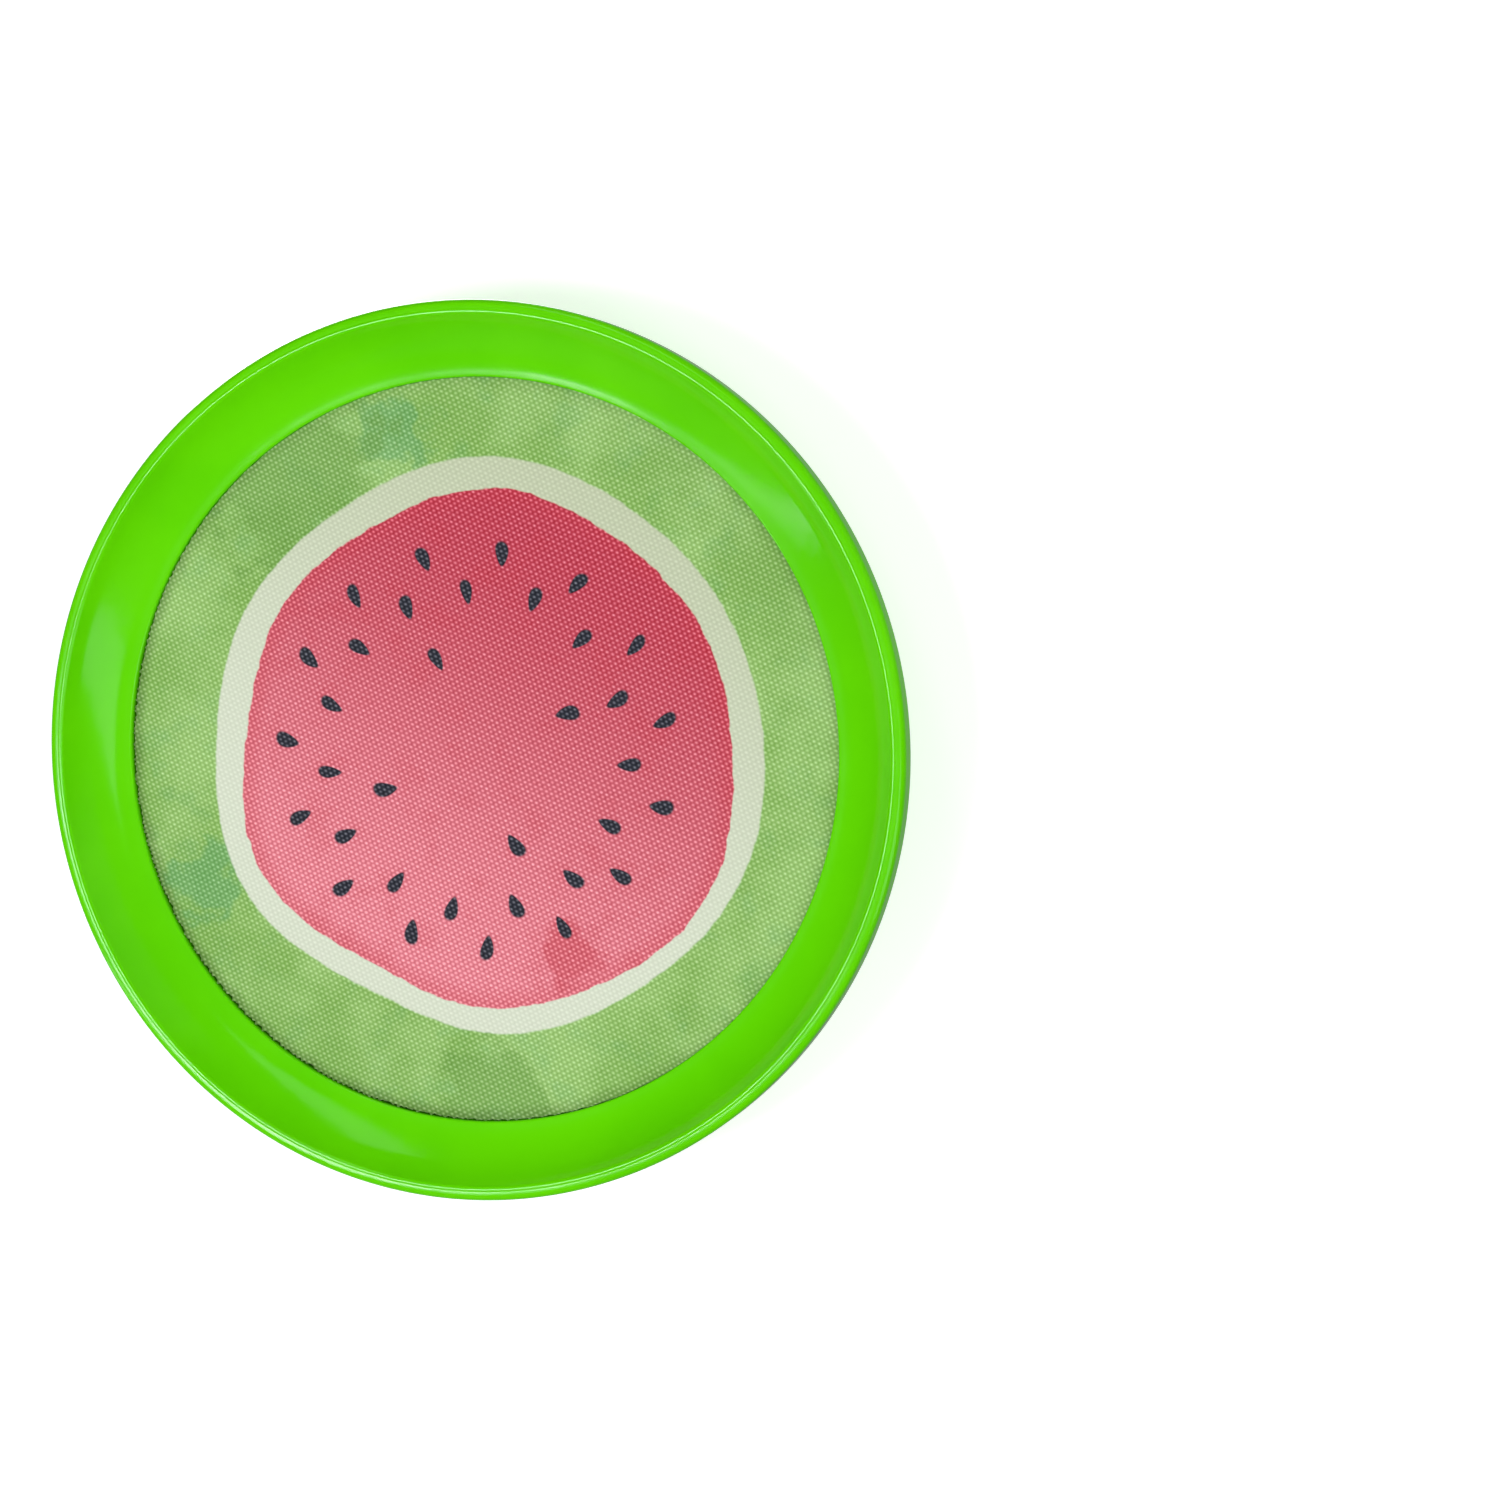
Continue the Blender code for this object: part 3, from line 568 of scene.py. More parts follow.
# %% [markdown]
# ## Printed fabric
#
# The catching face is a plain weave printed with a slice of fruit: green rind, a pale ring, red flesh and
# dark seeds. Thick threads stand out at every second crossing, in rows that run a little downhill, and
# every other row stands a little higher. The ink runs off the threads into the hollows, so the colour is
# denser where the cloth is low. A gamma turned by the height of the cloth does that to every colour alike,
# and leaves white as it is. On top of that the colour is scaled lighter on the high threads and darker in
# the hollows, which is a painted highlight and painted shade.

# %% Weave
def wave(pitch, degrees):
    """A wave in the cloth, from its pitch in millimetres and the direction in which it repeats."""
    direction = math.radians(degrees)
    return Vector((math.cos(direction), math.sin(direction))) * math.tau / pitch


ROW_WAVE = wave(1.47, 67.0)
THREAD_WAVE = wave(1.2, -21.0)


def weave(x, y, cosine=math.cos):
    """How high the cloth stands at a point: about 1.5 on a high crossing and -0.8 in a hollow."""
    row = cosine(x * ROW_WAVE.x + y * ROW_WAVE.y)
    thread = cosine(x * THREAD_WAVE.x + y * THREAD_WAVE.y)
    return row * thread + 0.16 * row + 0.8 * row * row - 0.4


crossings = 2 * 100 * ROW_WAVE.cross(THREAD_WAVE) / -math.tau ** 2
print("a square centimetre of cloth has", round(crossings), "crossings")

# %% [markdown]
# The edges of the print are hand drawn, so each is a circle with a few waves laid on it, from the slow wave
# that makes it egg-shaped to the quick ones that give it corners. Each wave is given as how often it goes
# round, its height in millimetres and a turn in degrees. The seeds stand in three rings. A ring is one seed
# repeated round the middle, and a random number for each seed moves and turns it a little.

# %% Drawn edges
RING_EDGE = 58.0
RING_WAVES = ((1, 1.7, 20.0), (2, 0.7, -10.0), (3, 0.8, -115.0),
              (4, 0.3, 45.0), (5, 0.5, -25.0), (6, 0.6, 185.0))
FLESH_EDGE = 52.2
FLESH_WAVES = ((1, 1.9, -10.0), (2, 0.6, -30.0), (3, 1.1, -115.0),
               (4, 0.3, 110.0), (5, 0.4, -40.0), (6, 0.8, 160.0))

ink = Finish("printed_cloth", Roughness=0.85, Specular_IOR_Level=0.15, Sheen_Weight=0.05, Sheen_Roughness=0.4)
ink_place, (x, y, _) = ink.place()
radius = (x * x + y * y) ** 0.5
angle = y.maths("ARCTAN2", y, x)
frill = ink.noise(ink_place, 4.0, 3.0) - 0.5


def drawn_edge(middle, waves, rough):
    """The radius of a drawn edge in each direction."""
    edge = middle + rough * frill
    for number, size, turn in waves:
        edge = edge + size * (number * angle - math.radians(turn)).cosine()
    return edge


ring_edge = drawn_edge(RING_EDGE, RING_WAVES, 0.8)
flesh_edge = drawn_edge(FLESH_EDGE, FLESH_WAVES, 1.6)
print("the edges have", len(RING_WAVES) + len(FLESH_WAVES), "waves")

# %% Seeds
SEED_RINGS = ((39.8, 15, 56.0), (32.4, 15, 67.5), (20.5, 4, 112.0))
SEED_HALF = 2.6
seeds = None
for ring_radius, count, first in SEED_RINGS:
    turn = (angle - math.radians(first)) * (count / math.tau) + 0.5
    chance = ink.node("ShaderNodeTexWhiteNoise", {"noise_dimensions": "2D"},
                      {"Vector": ink.node("ShaderNodeCombineXYZ", {}, [turn.floor(), ring_radius, 0.0])})
    along = radius - ring_radius - 2.0 * (chance - 0.5)
    aside = (turn.fraction() - 0.5) * (math.tau / count * ring_radius) - 1.2 * (chance * 7.0).fraction() + 0.6
    aside = aside + along * (0.5 * (chance * 13.0).fraction() - 0.25)
    taper = (1.2 + 0.3 * (chance * 5.0).fraction()) * (1.0 + 0.36 * along / SEED_HALF)
    inside = 1.0 - ((along / SEED_HALF) ** 2.0 + (aside / taper) ** 2.0).rise(0.7, 1.15)
    seeds = inside if seeds is None else seeds.most(inside)
print("the print has", sum(count for _, count, _ in SEED_RINGS), "seeds")

# %% Printed cloth finish
LOWER_LEFT = Vector((-0.85, -0.53))
INK_GATHERS = 0.34
THREAD_PAINTED_LIGHT = 0.22

wash = ink.noise(ink_place, 22.0, 3.0, 0.6)
streaks = ink.noise(ink_place, 8.0, 3.0, 0.6)
lower = (-0.8 * y - 0.35 * x) / 50.0


def blot(middle_x, middle_y, size):
    """A soft patch with a ragged rim."""
    aside = x - middle_x
    ahead = y - middle_y
    return 1.0 - ((aside * aside + ahead * ahead) ** 0.5 / size + 2.4 * (streaks - 0.5)).rise(0.55, 1.0)


rind = ink.blend(wash.rise(0.35, 0.65), colour(142, 188, 100), colour(164, 206, 124))
cool_blots = blot(-17.0, 64.0, 9.0).most(blot(-60.0, -27.0, 9.0)) * 0.45
rind = ink.blend((streaks.rise(0.5, 0.75) * 0.2).most(cool_blots), rind, colour(96, 168, 116))
# The rind is darker and more olive at the upper left and at the bottom.
dark_rind_patches = blot(-36.0, 54.0, 22.0).most(blot(2.0, -70.0, 14.0)) * 0.6
rind = ink.blend(dark_rind_patches, rind, colour(120, 168, 84))
# The ring and the flesh are paler towards the lower left.
ring = ink.blend(lower.rise(-1.2, 0.6), colour(204, 213, 182), colour(226, 233, 213))
flesh = ink.blend(lower.rise(-0.9, 0.9), colour(204, 74, 94), colour(242, 142, 156))
flesh = ink.blend((radius - flesh_edge).rise(-5.0, -0.5) * 0.3, flesh, colour(212, 68, 84))
red_blot = blot(19.0, -41.0, 8.0) * 0.5
flesh = ink.blend((streaks.rise(0.5, 0.7) * 0.2).most(red_blot), flesh, colour(208, 64, 80))
outside_ring = (radius - ring_edge).rise(-0.3, 0.3)
outside_flesh = (radius - flesh_edge).rise(-0.2, 0.2)
print_colour = ink.blend(outside_flesh, flesh, ink.blend(outside_ring, ring, rind))
print_colour = ink.blend(seeds, print_colour, colour(58, 60, 70))
# Painted shadow: the print darkens towards the fabric's edge, where the dish's wall shades it, most at the
# lower left.
lower_left = (LOWER_LEFT.x * x + LOWER_LEFT.y * y).rise(-30.0, 70.0)
painted_edge_shadow = (radius + 2.0 * frill).rise(FABRIC_RADIUS / MM - 3.0, FABRIC_RADIUS / MM + 0.3)
print_colour = ink.blend(painted_edge_shadow * (0.15 + 0.45 * lower_left), print_colour, colour(74, 104, 46))
ink_and_shade_weight = (0.3 + 0.3 * outside_ring).most(0.8 - 0.8 * outside_flesh)

uneven = ink.noise(ink_place, 0.9, 2.0)
slack = ink.noise(ink_place, 3.0, 2.0)
height = weave(x + 0.3 * slack, y + 0.2 * uneven, Flow.cosine)
relief = height * (0.5 + uneven) * ink_and_shade_weight
print_colour = ink.node("ShaderNodeGamma", {}, [print_colour, 1.0 - INK_GATHERS * relief])
# Painted highlight and shade: the colour is scaled up on the high threads and down in the hollows.
thread = ink.node("ShaderNodeVectorMath", {"operation": "SCALE"},
                  {0: print_colour, "Scale": 1.0 + THREAD_PAINTED_LIGHT * relief})
printed_cloth = ink.feed(
    Base_Color=thread,
    Roughness=0.9 - 0.1 * height,
    Normal=ink.bump(0.4 + 0.3 * height, 0.06 * MM),
)
print("the print has", len(ink.tree.nodes), "nodes")

# %% [markdown]
# The disc is cut from the cloth, so its edge goes in and out where the cut crosses threads: each point of
# the edge steps back by as much as the weave is down there. The disc was laid in a little towards the upper
# right, so the teeth show at the lower left.

# %% Printed fabric disc
EDGE_GAP = 0.02 * MM
fabric_low, fabric_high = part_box("printed_fabric")
cloth = bmesh.new()
bmesh.ops.create_circle(cloth, cap_ends=True, segments=1440, radius=POCKET_RADIUS - EDGE_GAP)
bmesh.ops.translate(cloth, verts=cloth.verts, vec=(0, 0, fabric_high.z))
bmesh.ops.inset_region(cloth, faces=cloth.faces[:], thickness=1.2 * MM, use_boundary=True)
bmesh.ops.extrude_edge_only(cloth, edges=[edge for edge in cloth.edges if edge.is_boundary])
for vert in cloth.verts:
    if vert.is_boundary:
        vert.co.z = fabric_low.z
    if vert.co.xy.length > FABRIC_RADIUS - 0.6 * MM:
        teeth = 0.06 + 0.9 * max(0.0, vert.co.xy.normalized().dot(LOWER_LEFT))
        bite = 0.4 - 0.4 * weave(vert.co.x / MM, vert.co.y / MM) + 0.4 * noise.noise(vert.co * 900.0)
        vert.co.xy *= 1.0 - teeth * MM * max(0.0, bite) / FABRIC_RADIUS
bmesh.ops.holes_fill(cloth, edges=[edge for edge in cloth.edges if edge.is_boundary])
fabric = add_piece("printed_face", cloth, [printed_cloth])
show(fabric, "printed_fabric")

# %% [markdown]
# ## Straps
#
# Each tape is made flat, where its ribs, rows and hooks are easy to place, and then laid along its way
# through the slots and the slider. The flat place of each point is kept as an attribute, so that a finish
# can follow the tape round its bends.

# %% Sizes of the straps
GAP = 0.3 * MM
WEBBING = 1.0 * MM
HOOK_TAPE = 1.4 * MM
LOOP_TAPE = 1.0 * MM
LOOP_TAPE_WIDTH = 22.4 * MM
LOOP_TAPE_SHIFT = -0.9 * MM
SLIDER_WIDTH = 32.2 * MM
SLIDER_LENGTH = 17.4 * MM
SLIDER_BAR = 2.6 * MM
SLIDER_THICKNESS = 2.4 * MM
BAR_RISE = 0.8 * MM
SLIDER_LIFT = 5.0 * MM
SLIDER_START = SLOT_DISTANCE + 2.7 * MM
UPPER_BAR = SLIDER_START - SLIDER_BAR / 2
MIDDLE_BAR = SLIDER_START - SLIDER_LENGTH / 2
LOWER_BAR = SLIDER_START - SLIDER_LENGTH + SLIDER_BAR / 2
TAPE_PITCH = LOOP_TAPE / 2 + GAP + HOOK_TAPE / 2
SEAM_DEPTH = SLIDER_LIFT + SLIDER_THICKNESS / 2 + GAP + LOOP_TAPE / 2
TAIL_DEPTH = SEAM_DEPTH + 2 * TAPE_PITCH
print("the slider's bars lie at", [round(bar / MM, 1) for bar in (LOWER_BAR, MIDDLE_BAR, UPPER_BAR)], "mm")


# %% Ways of the straps, in (along Y, depth behind the floor)
def offset(points, distance):
    """Points moved to the left of their path."""
    moved = []
    for i, point in enumerate(points):
        step = (points[min(i + 1, len(points) - 1)] - points[max(i - 1, 0)]).normalized()
        moved.append(point + Vector((-step.y, step.x)) * distance)
    return moved


def around_bar(bar_y, depth, turn, thickness):
    """Half a turn round a bar of the slider."""
    return arc(Vector((bar_y, depth)), SLIDER_BAR / 2 + GAP + thickness / 2, -math.pi / 2, turn, 20)


def webbing_way():
    """In through the upper slot, round the slider's upper bar and back in."""
    inner_layer = -(FLOOR_WALL + GAP + WEBBING / 2)
    outer_layer = inner_layer - GAP - WEBBING
    outer_y = SLOT_DISTANCE + SLOT_LENGTH / 2 - 1.1 * MM - WEBBING / 2
    inner_y = outer_y - GAP - WEBBING
    bend = 0.7 * MM + WEBBING / 2
    corner = Vector((inner_y - bend, inner_layer + bend))
    end_y = SLOT_DISTANCE - SLOT_LENGTH / 2 - 18.0 * MM
    bar = around_bar(UPPER_BAR, SLIDER_LIFT, -math.pi, WEBBING)
    inner_sweep = inner_y - UPPER_BAR
    outer_sweep = outer_y - UPPER_BAR
    way = [Vector((end_y, inner_layer))]
    way += arc(corner, bend, -math.pi / 2, math.pi / 2, 10)
    way += arc(Vector((UPPER_BAR, bar[0].y - inner_sweep)), inner_sweep, 0.0, math.pi / 2, 10)
    way += bar[1:]
    way += arc(Vector((UPPER_BAR, bar[-1].y - outer_sweep)), outer_sweep, math.pi / 2, -math.pi / 2, 14)[1:]
    way += arc(corner, outer_y - corner.x, 0.0, -math.pi / 2, 12)
    way.append(Vector((end_y, outer_layer)))
    return way


def dip():
    """The loop tape from the top of the lower bar to the underside of the middle bar."""
    start = Vector((LOWER_BAR, SEAM_DEPTH))
    end = around_bar(MIDDLE_BAR, SLIDER_LIFT + BAR_RISE, math.pi, LOOP_TAPE)[0]
    handle = Vector(((MIDDLE_BAR - LOWER_BAR) * 0.46, 0.0))
    return curve(start, start + handle, end - handle, end, 24)


def hook_arch():
    """The hook tape from its turn in the lower slot to the top of the slider's lower bar."""
    inside = -(FLOOR_WALL + GAP + HOOK_TAPE / 2)
    over_frame = FRAME_RISE + 2 * GAP + HOOK_TAPE / 2
    turn_radius = (over_frame - inside) / 2
    turn_y = -SLOT_DISTANCE - SLOT_LENGTH / 2 + 2.0 * MM + HOOK_TAPE / 2 + turn_radius
    lean = math.radians(8.0)
    turn = arc(Vector((turn_y, inside + turn_radius)), turn_radius, -math.pi / 2, lean - math.pi, 24)
    end = Vector((LOWER_BAR, SEAM_DEPTH + TAPE_PITCH))
    rise = Vector((math.cos(lean), math.sin(lean))) * 35.0 * MM
    return turn, curve(turn[-1], turn[-1] + rise, end - Vector((30.0 * MM, 0.0)), end, 72)


def hook_way():
    """Held inside, out through the lower slot, along the back and into the slider."""
    turn, arch = hook_arch()
    held_end = Vector((-SLOT_DISTANCE + SLOT_LENGTH / 2 + 20.0 * MM, turn[0].y))
    return [held_end] + turn[:-1] + arch + offset(dip(), TAPE_PITCH)[1:10]


def loop_way():
    """Sewn under the hook tape's end, round the middle bar and back on top as the tail."""
    seam = [point for point in offset(hook_arch()[1], -TAPE_PITCH) if point.x > LOWER_BAR - 14.0 * MM]
    fold = around_bar(MIDDLE_BAR, SLIDER_LIFT + BAR_RISE, math.pi, LOOP_TAPE)
    tail_start = Vector((LOWER_BAR + SLIDER_BAR / 4, TAIL_DEPTH))
    handle = Vector(((MIDDLE_BAR - LOWER_BAR) * 0.4, 0.0))
    rise = curve(fold[-1], fold[-1] - handle, tail_start + handle, tail_start, 16)
    return seam[:-1] + dip() + fold[1:] + rise[1:] + [Vector((LOWER_BAR - 1.6 * MM, TAIL_DEPTH))]


def length_of(way):
    """How long a way is."""
    return sum((b - a).length for a, b in zip(way, way[1:]))


for word, way in (("webbing", webbing_way()), ("hook tape", hook_way()), ("loop tape", loop_way())):
    print("the", word, "is", round(length_of(way) / MM, 1), "mm long")


# %% Flat tape and laying it along its way
def flat_tape(width, length, thickness, edge_radius, rows, columns):
    """A flat tape from y = 0 to its length, its middle at z = 0, with rounded long edges."""
    bm = bmesh.new()
    bmesh.ops.create_grid(bm, x_segments=columns, y_segments=rows, size=0.5)
    bmesh.ops.scale(bm, verts=bm.verts, vec=(width, length, 1.0))
    bmesh.ops.translate(bm, verts=bm.verts, vec=(0, length / 2, -thickness / 2))
    top = bmesh.ops.extrude_face_region(bm, geom=bm.faces[:])["geom"]
    top_verts = [item for item in top if isinstance(item, bmesh.types.BMVert)]
    bmesh.ops.translate(bm, verts=top_verts, vec=(0, 0, thickness))
    bmesh.ops.recalc_face_normals(bm, faces=bm.faces)
    long_edges = [edge for edge in bm.edges if edge.is_manifold and edge.calc_face_angle() > 1.0
                  and abs(edge.verts[0].co.x - edge.verts[1].co.x) < 0.01 * MM]
    bmesh.ops.bevel(bm, geom=long_edges, offset=edge_radius, segments=3, profile=0.5, affect="EDGES",
                    material=-1)
    return bm


def lay(bm, way, shift=0.0):
    """Bend a flat tape along its way, keeping the flat place of each point in millimetres."""
    flat = bm.verts.layers.float_vector.new("flat")
    reached = [0.0]
    for a, b in zip(way, way[1:]):
        reached.append(reached[-1] + (b - a).length)
    left = offset(way, 1.0)
    normals = [point - start for point, start in zip(left, way)]
    for vert in bm.verts:
        vert[flat] = vert.co / MM
        across, along, lift = vert.co
        along = min(max(along, 0.0), reached[-1] * 0.999999)
        index = next(i for i in range(len(way) - 1) if reached[i + 1] > along)
        share = (along - reached[index]) / (reached[index + 1] - reached[index])
        normal = normals[index].lerp(normals[index + 1], share).normalized()
        point = way[index].lerp(way[index + 1], share) + normal * lift
        vert.co = (STRAP_OFFSET + shift + across, point.x, BACK_LEVEL - point.y)


def flat_place(finish):
    """The flat place of a tape's point: the vector, and how far across, along and up it is."""
    vector = finish.node("ShaderNodeAttribute", {"attribute_name": "flat"}, {}, "Vector")
    return vector, finish.parts(vector)


print("a tape of one centimetre has", len(flat_tape(0.01, 0.01, 0.001, 0.0002, 10, 4).faces), "faces")

# %% [markdown]
# ## Webbing loop
#
# A short loop of ribbed webbing holds the slider at the upper slot. Real webbing has fine ribs across it.
# They are half a millimetre apart, so a bump in the finish shows them as well as geometry would.

# %% Webbing finish and loop
RIB_PITCH = 0.62
webbing = Finish("black_webbing", Roughness=0.8, Specular_IOR_Level=0.35, Sheen_Weight=0.1)
webbing_place, (across, along, _) = flat_place(webbing)
fibres = webbing.noise(webbing_place, 0.25, 2.0)
rib = (along * (math.tau / RIB_PITCH)).cosine()
twill = ((across + 0.5 * along) * (math.tau / 0.9)).cosine()
rib_height = 0.5 + 0.35 * rib + 0.15 * twill
# The colour is lighter on the rib tops and darker between the ribs, which is painted shade, mixed with a
# random tone of the fibres.
black_webbing = webbing.feed(
    Base_Color=webbing.blend(rib_height * (0.5 + fibres), colour(16, 16, 17), colour(58, 58, 60)),
    Roughness=0.65 + 0.25 * fibres,
    Normal=webbing.bump(rib_height + 0.3 * fibres, 0.12 * MM),
)
way = webbing_way()
tape = flat_tape(STRAP_WIDTH, length_of(way), WEBBING, 0.35 * MM, 220, 16)
lay(tape, way)
webbing_loop = add_piece("ribbed_webbing", tape, [black_webbing], 50.0)
show(webbing_loop, "webbing_loop")

# %% [markdown]
# ## Slider
#
# A three-bar slider moulded in black plastic. Its frame is a rounded ring with softened edges, and the
# middle bar stands out from the two others so that the tape wedges on it.

# %% Slider
satin = Finish("black_plastic", Roughness=0.3, Specular_IOR_Level=0.5)
satin_place, _ = satin.place()
skin = satin.noise(satin_place, 0.5, 2.0)
rubbed = satin.noise(satin_place, 6.0, 3.0)
black_plastic = satin.feed(
    Base_Color=satin.blend(rubbed.rise(0.4, 0.7), colour(17, 17, 18), colour(30, 30, 32)),
    Roughness=0.24 + 0.14 * rubbed,
    Normal=satin.bump(skin, 0.01 * MM),
)
SLIDER_ARM = 2.9 * MM
SLIDER_CORNER = 3.2 * MM
SLIDER_SOFT_EDGE = 0.9 * MM
WINDOW_WIDTH = SLIDER_WIDTH - 2 * SLIDER_ARM
WINDOW_CORNER = 1.1 * MM
body = block(SLIDER_WIDTH, SLIDER_LENGTH, SLIDER_CORNER, -SLIDER_THICKNESS / 2, SLIDER_THICKNESS, 8)
slider = add_piece("slider", body, [black_plastic])
opening = block(WINDOW_WIDTH, SLIDER_LENGTH - 2 * SLIDER_BAR, WINDOW_CORNER,
                -2 * SLIDER_THICKNESS, 4 * SLIDER_THICKNESS)
window = add_piece("window", opening, [black_plastic])
modify(slider, "BOOLEAN", operation="DIFFERENCE", solver="EXACT", object=window)
modify(slider, "BEVEL", width=SLIDER_SOFT_EDGE, segments=5, limit_method="ANGLE",
       angle_limit=math.radians(60.0))
apply_modifiers(slider, window)
bar_length = WINDOW_WIDTH + SLIDER_ARM
bar_mesh = block(SLIDER_BAR, SLIDER_THICKNESS, SLIDER_SOFT_EDGE, -bar_length / 2, bar_length)
bmesh.ops.rotate(bar_mesh, verts=bar_mesh.verts, matrix=Matrix.Rotation(math.pi / 2, 3, "X"))
bmesh.ops.rotate(bar_mesh, verts=bar_mesh.verts, matrix=Matrix.Rotation(math.pi / 2, 3, "Z"))
bmesh.ops.translate(bar_mesh, verts=bar_mesh.verts, vec=(0, 0, -BAR_RISE))
bar = add_piece("middle_bar", bar_mesh, [black_plastic])
modify(slider, "BOOLEAN", operation="UNION", solver="EXACT", object=bar)
apply_modifiers(slider, bar)
slider.data.transform(Matrix.Translation((STRAP_OFFSET, MIDDLE_BAR, BACK_LEVEL - SLIDER_LIFT)))
slider.data.shade_smooth()
slider.data.set_sharp_from_angle(angle=math.radians(35.0))
show(slider, "strap_slider")

# %% [markdown]
# ## Hook tape
#
# The long tape carries rows of stiff nylon hooks between two ribbed borders. Thousands of hooks show as a
# sparkle of dots, so each is a real one of a few faces: a stem with three sides, bent over by a spin. Two
# Array modifiers repeat it, and then every hook leans a little its own way.

# %% Hook tape finish
nylon = Finish("hook_tape", Roughness=0.5, Specular_IOR_Level=0.5)
nylon_place, (across, along, _) = flat_place(nylon)
border = across.size().rise(9.1, 9.35)
threads = nylon.noise(nylon_place, 0.3, 2.0)
border_rib = (along * (math.tau / 0.65)).cosine()
ground_rib = (along * (math.tau / 0.8)).cosine()
tape_height = 0.5 + 0.3 * (border * border_rib + (1.0 - border) * ground_rib) + 0.25 * threads
# The colour follows the ribs, lighter on top and darker between them, which is painted shade, with a random
# tone of the threads.
hook_tape = nylon.feed(
    Base_Color=nylon.blend(tape_height, colour(20, 20, 21), colour(66, 66, 68)),
    Roughness=0.42 + 0.3 * threads,
    Normal=nylon.bump(tape_height, 0.1 * MM),
)
print("the hooks are made of", hook_tape.name)

# %% Hook tape
HOOK_BASE = 0.55 * MM
HOOK_PITCH = 0.8 * MM
HOOK_THICK = 0.085 * MM
HOOK_STEM = 0.42 * MM
HOOK_BEND = 0.2 * MM
HOOK_TURN = math.radians(215.0)
HOOK_LEAN = 0.7
HOOK_COLUMNS = 23
way = hook_way()
tape_length = length_of(way)
turn_length = length_of(way[:24])
hook_rows = int((tape_length - turn_length - 2.0 * MM) / HOOK_PITCH)

hook = bmesh.new()
bmesh.ops.create_circle(hook, cap_ends=True, segments=3, radius=HOOK_THICK)
stem = bmesh.ops.extrude_face_region(hook, geom=hook.faces[:])["geom"]
bmesh.ops.translate(hook, verts=[v for v in stem if isinstance(v, bmesh.types.BMVert)], vec=(0, 0, HOOK_STEM))
hook.faces.ensure_lookup_table()
tip = max(hook.faces, key=lambda face: face.calc_center_median().z)
bmesh.ops.spin(hook, geom=[tip], cent=(0, HOOK_BEND, HOOK_STEM), axis=(1, 0, 0), angle=-HOOK_TURN, steps=4)
bmesh.ops.remove_doubles(hook, verts=hook.verts, dist=0.001 * MM)
bmesh.ops.translate(hook, verts=hook.verts, vec=(-(HOOK_COLUMNS - 1) / 2 * HOOK_PITCH, 0, 0))
hooks = add_piece("hooks", hook, [hook_tape])
for count, step in ((HOOK_COLUMNS, (HOOK_PITCH, 0, 0)), (hook_rows, (0, HOOK_PITCH, 0))):
    modify(hooks, "ARRAY", count=count, use_relative_offset=False, use_constant_offset=True,
           constant_offset_displace=step)
apply_modifiers(hooks)

tape = flat_tape(STRAP_WIDTH, tape_length, HOOK_BASE, 0.2 * MM, 300, 20)
bmesh.ops.translate(tape, verts=tape.verts, vec=(0, 0, (HOOK_BASE - HOOK_TAPE) / 2))
field = bmesh.new()
field.from_mesh(hooks.data)
for vert in field.verts:
    column = round(vert.co.x / HOOK_PITCH)
    row = math.floor(vert.co.y / HOOK_PITCH + 0.25)
    chance = noise.cell_vector(Vector((column, row, 0.5)))
    lean = Vector((chance.x - 0.5, chance.y - 0.5, 0.0)) * HOOK_LEAN * vert.co.z
    stagger = Vector((0.0, HOOK_PITCH / 2 * (column % 2) + 0.25 * MM * (chance.z - 0.5), 0.0))
    vert.co += lean + stagger + Vector((0, turn_length + 0.5 * MM, HOOK_BASE - HOOK_TAPE / 2 - 0.05 * MM))
field_mesh = bpy.data.meshes.new("field")
field.to_mesh(field_mesh)
field.free()
tape.from_mesh(field_mesh)
lay(tape, way)
bpy.data.objects.remove(hooks, do_unlink=True)
hook_strap = add_piece("hook_strap", tape, [hook_tape], 50.0, closed=False)
show(hook_strap, "hook_tape_strap")

# %% [markdown]
# ## Loop tape
#
# The soft half of the fastener folds round the slider's middle bar, and its short end lies on the hooks.
# Its pile is thousands of tiny loops. Small arches stand for them, laid as the hooks are, and the finish
# mottles them.

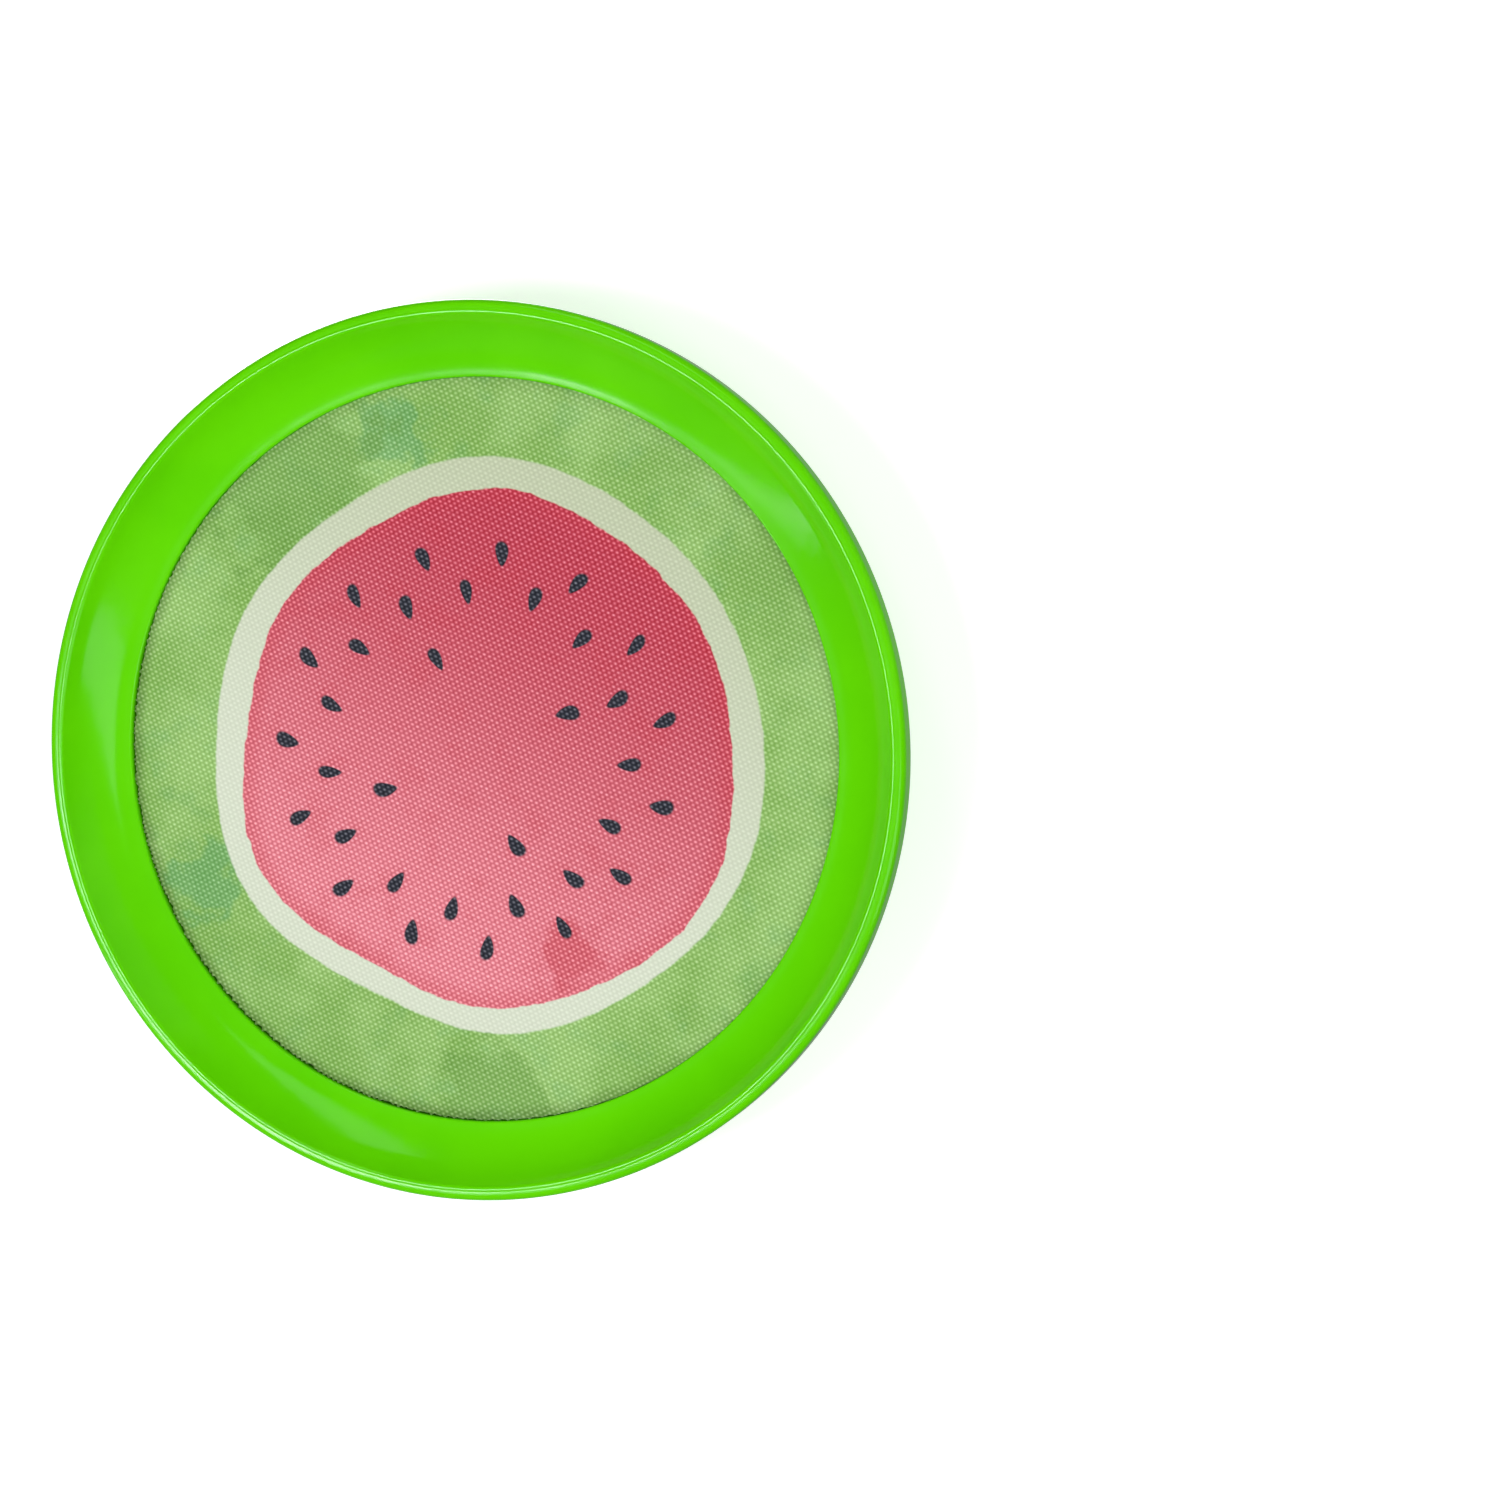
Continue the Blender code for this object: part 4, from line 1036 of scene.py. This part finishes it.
# %% Loop tape
pile = Finish("loop_tape", Roughness=0.95, Specular_IOR_Level=0.2, Sheen_Weight=0.25, Sheen_Roughness=0.5)
pile_place, _ = flat_place(pile)
mottle = pile.noise(pile_place, 1.3, 3.0, 0.7)
fuzz = pile.noise(pile_place, 0.22, 2.0, 0.7)
tufts = mottle.rise(0.35, 0.75) * fuzz.rise(0.3, 0.7)
loop_tape = pile.feed(
    Base_Color=pile.blend(tufts, colour(10, 10, 11), colour(44, 44, 46)),
    Roughness=0.8 + 0.2 * fuzz,
    Normal=pile.bump(fuzz + mottle, 0.2 * MM),
)
LOOP_BASE = 0.62 * MM
LOOP_PITCH = 0.55 * MM
LOOP_ARCH = 0.3 * MM
way = loop_way()
tape_length = length_of(way)
tape = flat_tape(LOOP_TAPE_WIDTH, tape_length, LOOP_BASE, 0.2 * MM, 120, 16)
bmesh.ops.translate(tape, verts=tape.verts, vec=(0, 0, (LOOP_BASE - LOOP_TAPE) / 2))

arch = bmesh.new()
start = [arch.verts.new((side * 0.06 * MM, -LOOP_ARCH / 2, 0.0)) for side in (-1, 1)]
edge = arch.edges.new(start)
bmesh.ops.spin(arch, geom=start + [edge], cent=(0, 0, 0), axis=(1, 0, 0), angle=-math.pi, steps=4)
loops = add_piece("loops", arch, [loop_tape], closed=False)
pile_columns = int((LOOP_TAPE_WIDTH - 1.0 * MM) / LOOP_PITCH)
pile_rows = int((tape_length - 16.0 * MM) / LOOP_PITCH)
for count, step in ((pile_columns, (LOOP_PITCH, 0, 0)), (pile_rows, (0, LOOP_PITCH, 0))):
    modify(loops, "ARRAY", count=count, use_relative_offset=False, use_constant_offset=True,
           constant_offset_displace=step)
apply_modifiers(loops)
field = bmesh.new()
field.from_mesh(loops.data)
for vert in field.verts:
    column = round(vert.co.x / LOOP_PITCH)
    row = round(vert.co.y / LOOP_PITCH)
    chance = noise.cell_vector(Vector((column, row, 3.5)))
    middle = Vector((column * LOOP_PITCH, row * LOOP_PITCH, 0.0))
    turned = Matrix.Rotation(math.tau * chance.x, 3, "Z") @ (vert.co - middle)
    turned.z *= 1.0 + 0.9 * chance.y
    vert.co = middle + turned + Vector(((1 - pile_columns) / 2 * LOOP_PITCH + 0.3 * MM * (chance.z - 0.5),
                                        15.0 * MM + 0.3 * MM * (chance.y - 0.5), LOOP_BASE - LOOP_TAPE / 2))
field_mesh = bpy.data.meshes.new("pile_field")
field.to_mesh(field_mesh)
field.free()
tape.from_mesh(field_mesh)
lay(tape, way, LOOP_TAPE_SHIFT)
bpy.data.objects.remove(loops, do_unlink=True)
tail = add_piece("loop_strap", tape, [loop_tape], 50.0, closed=False)
show(tail, "loop_tape_tail")
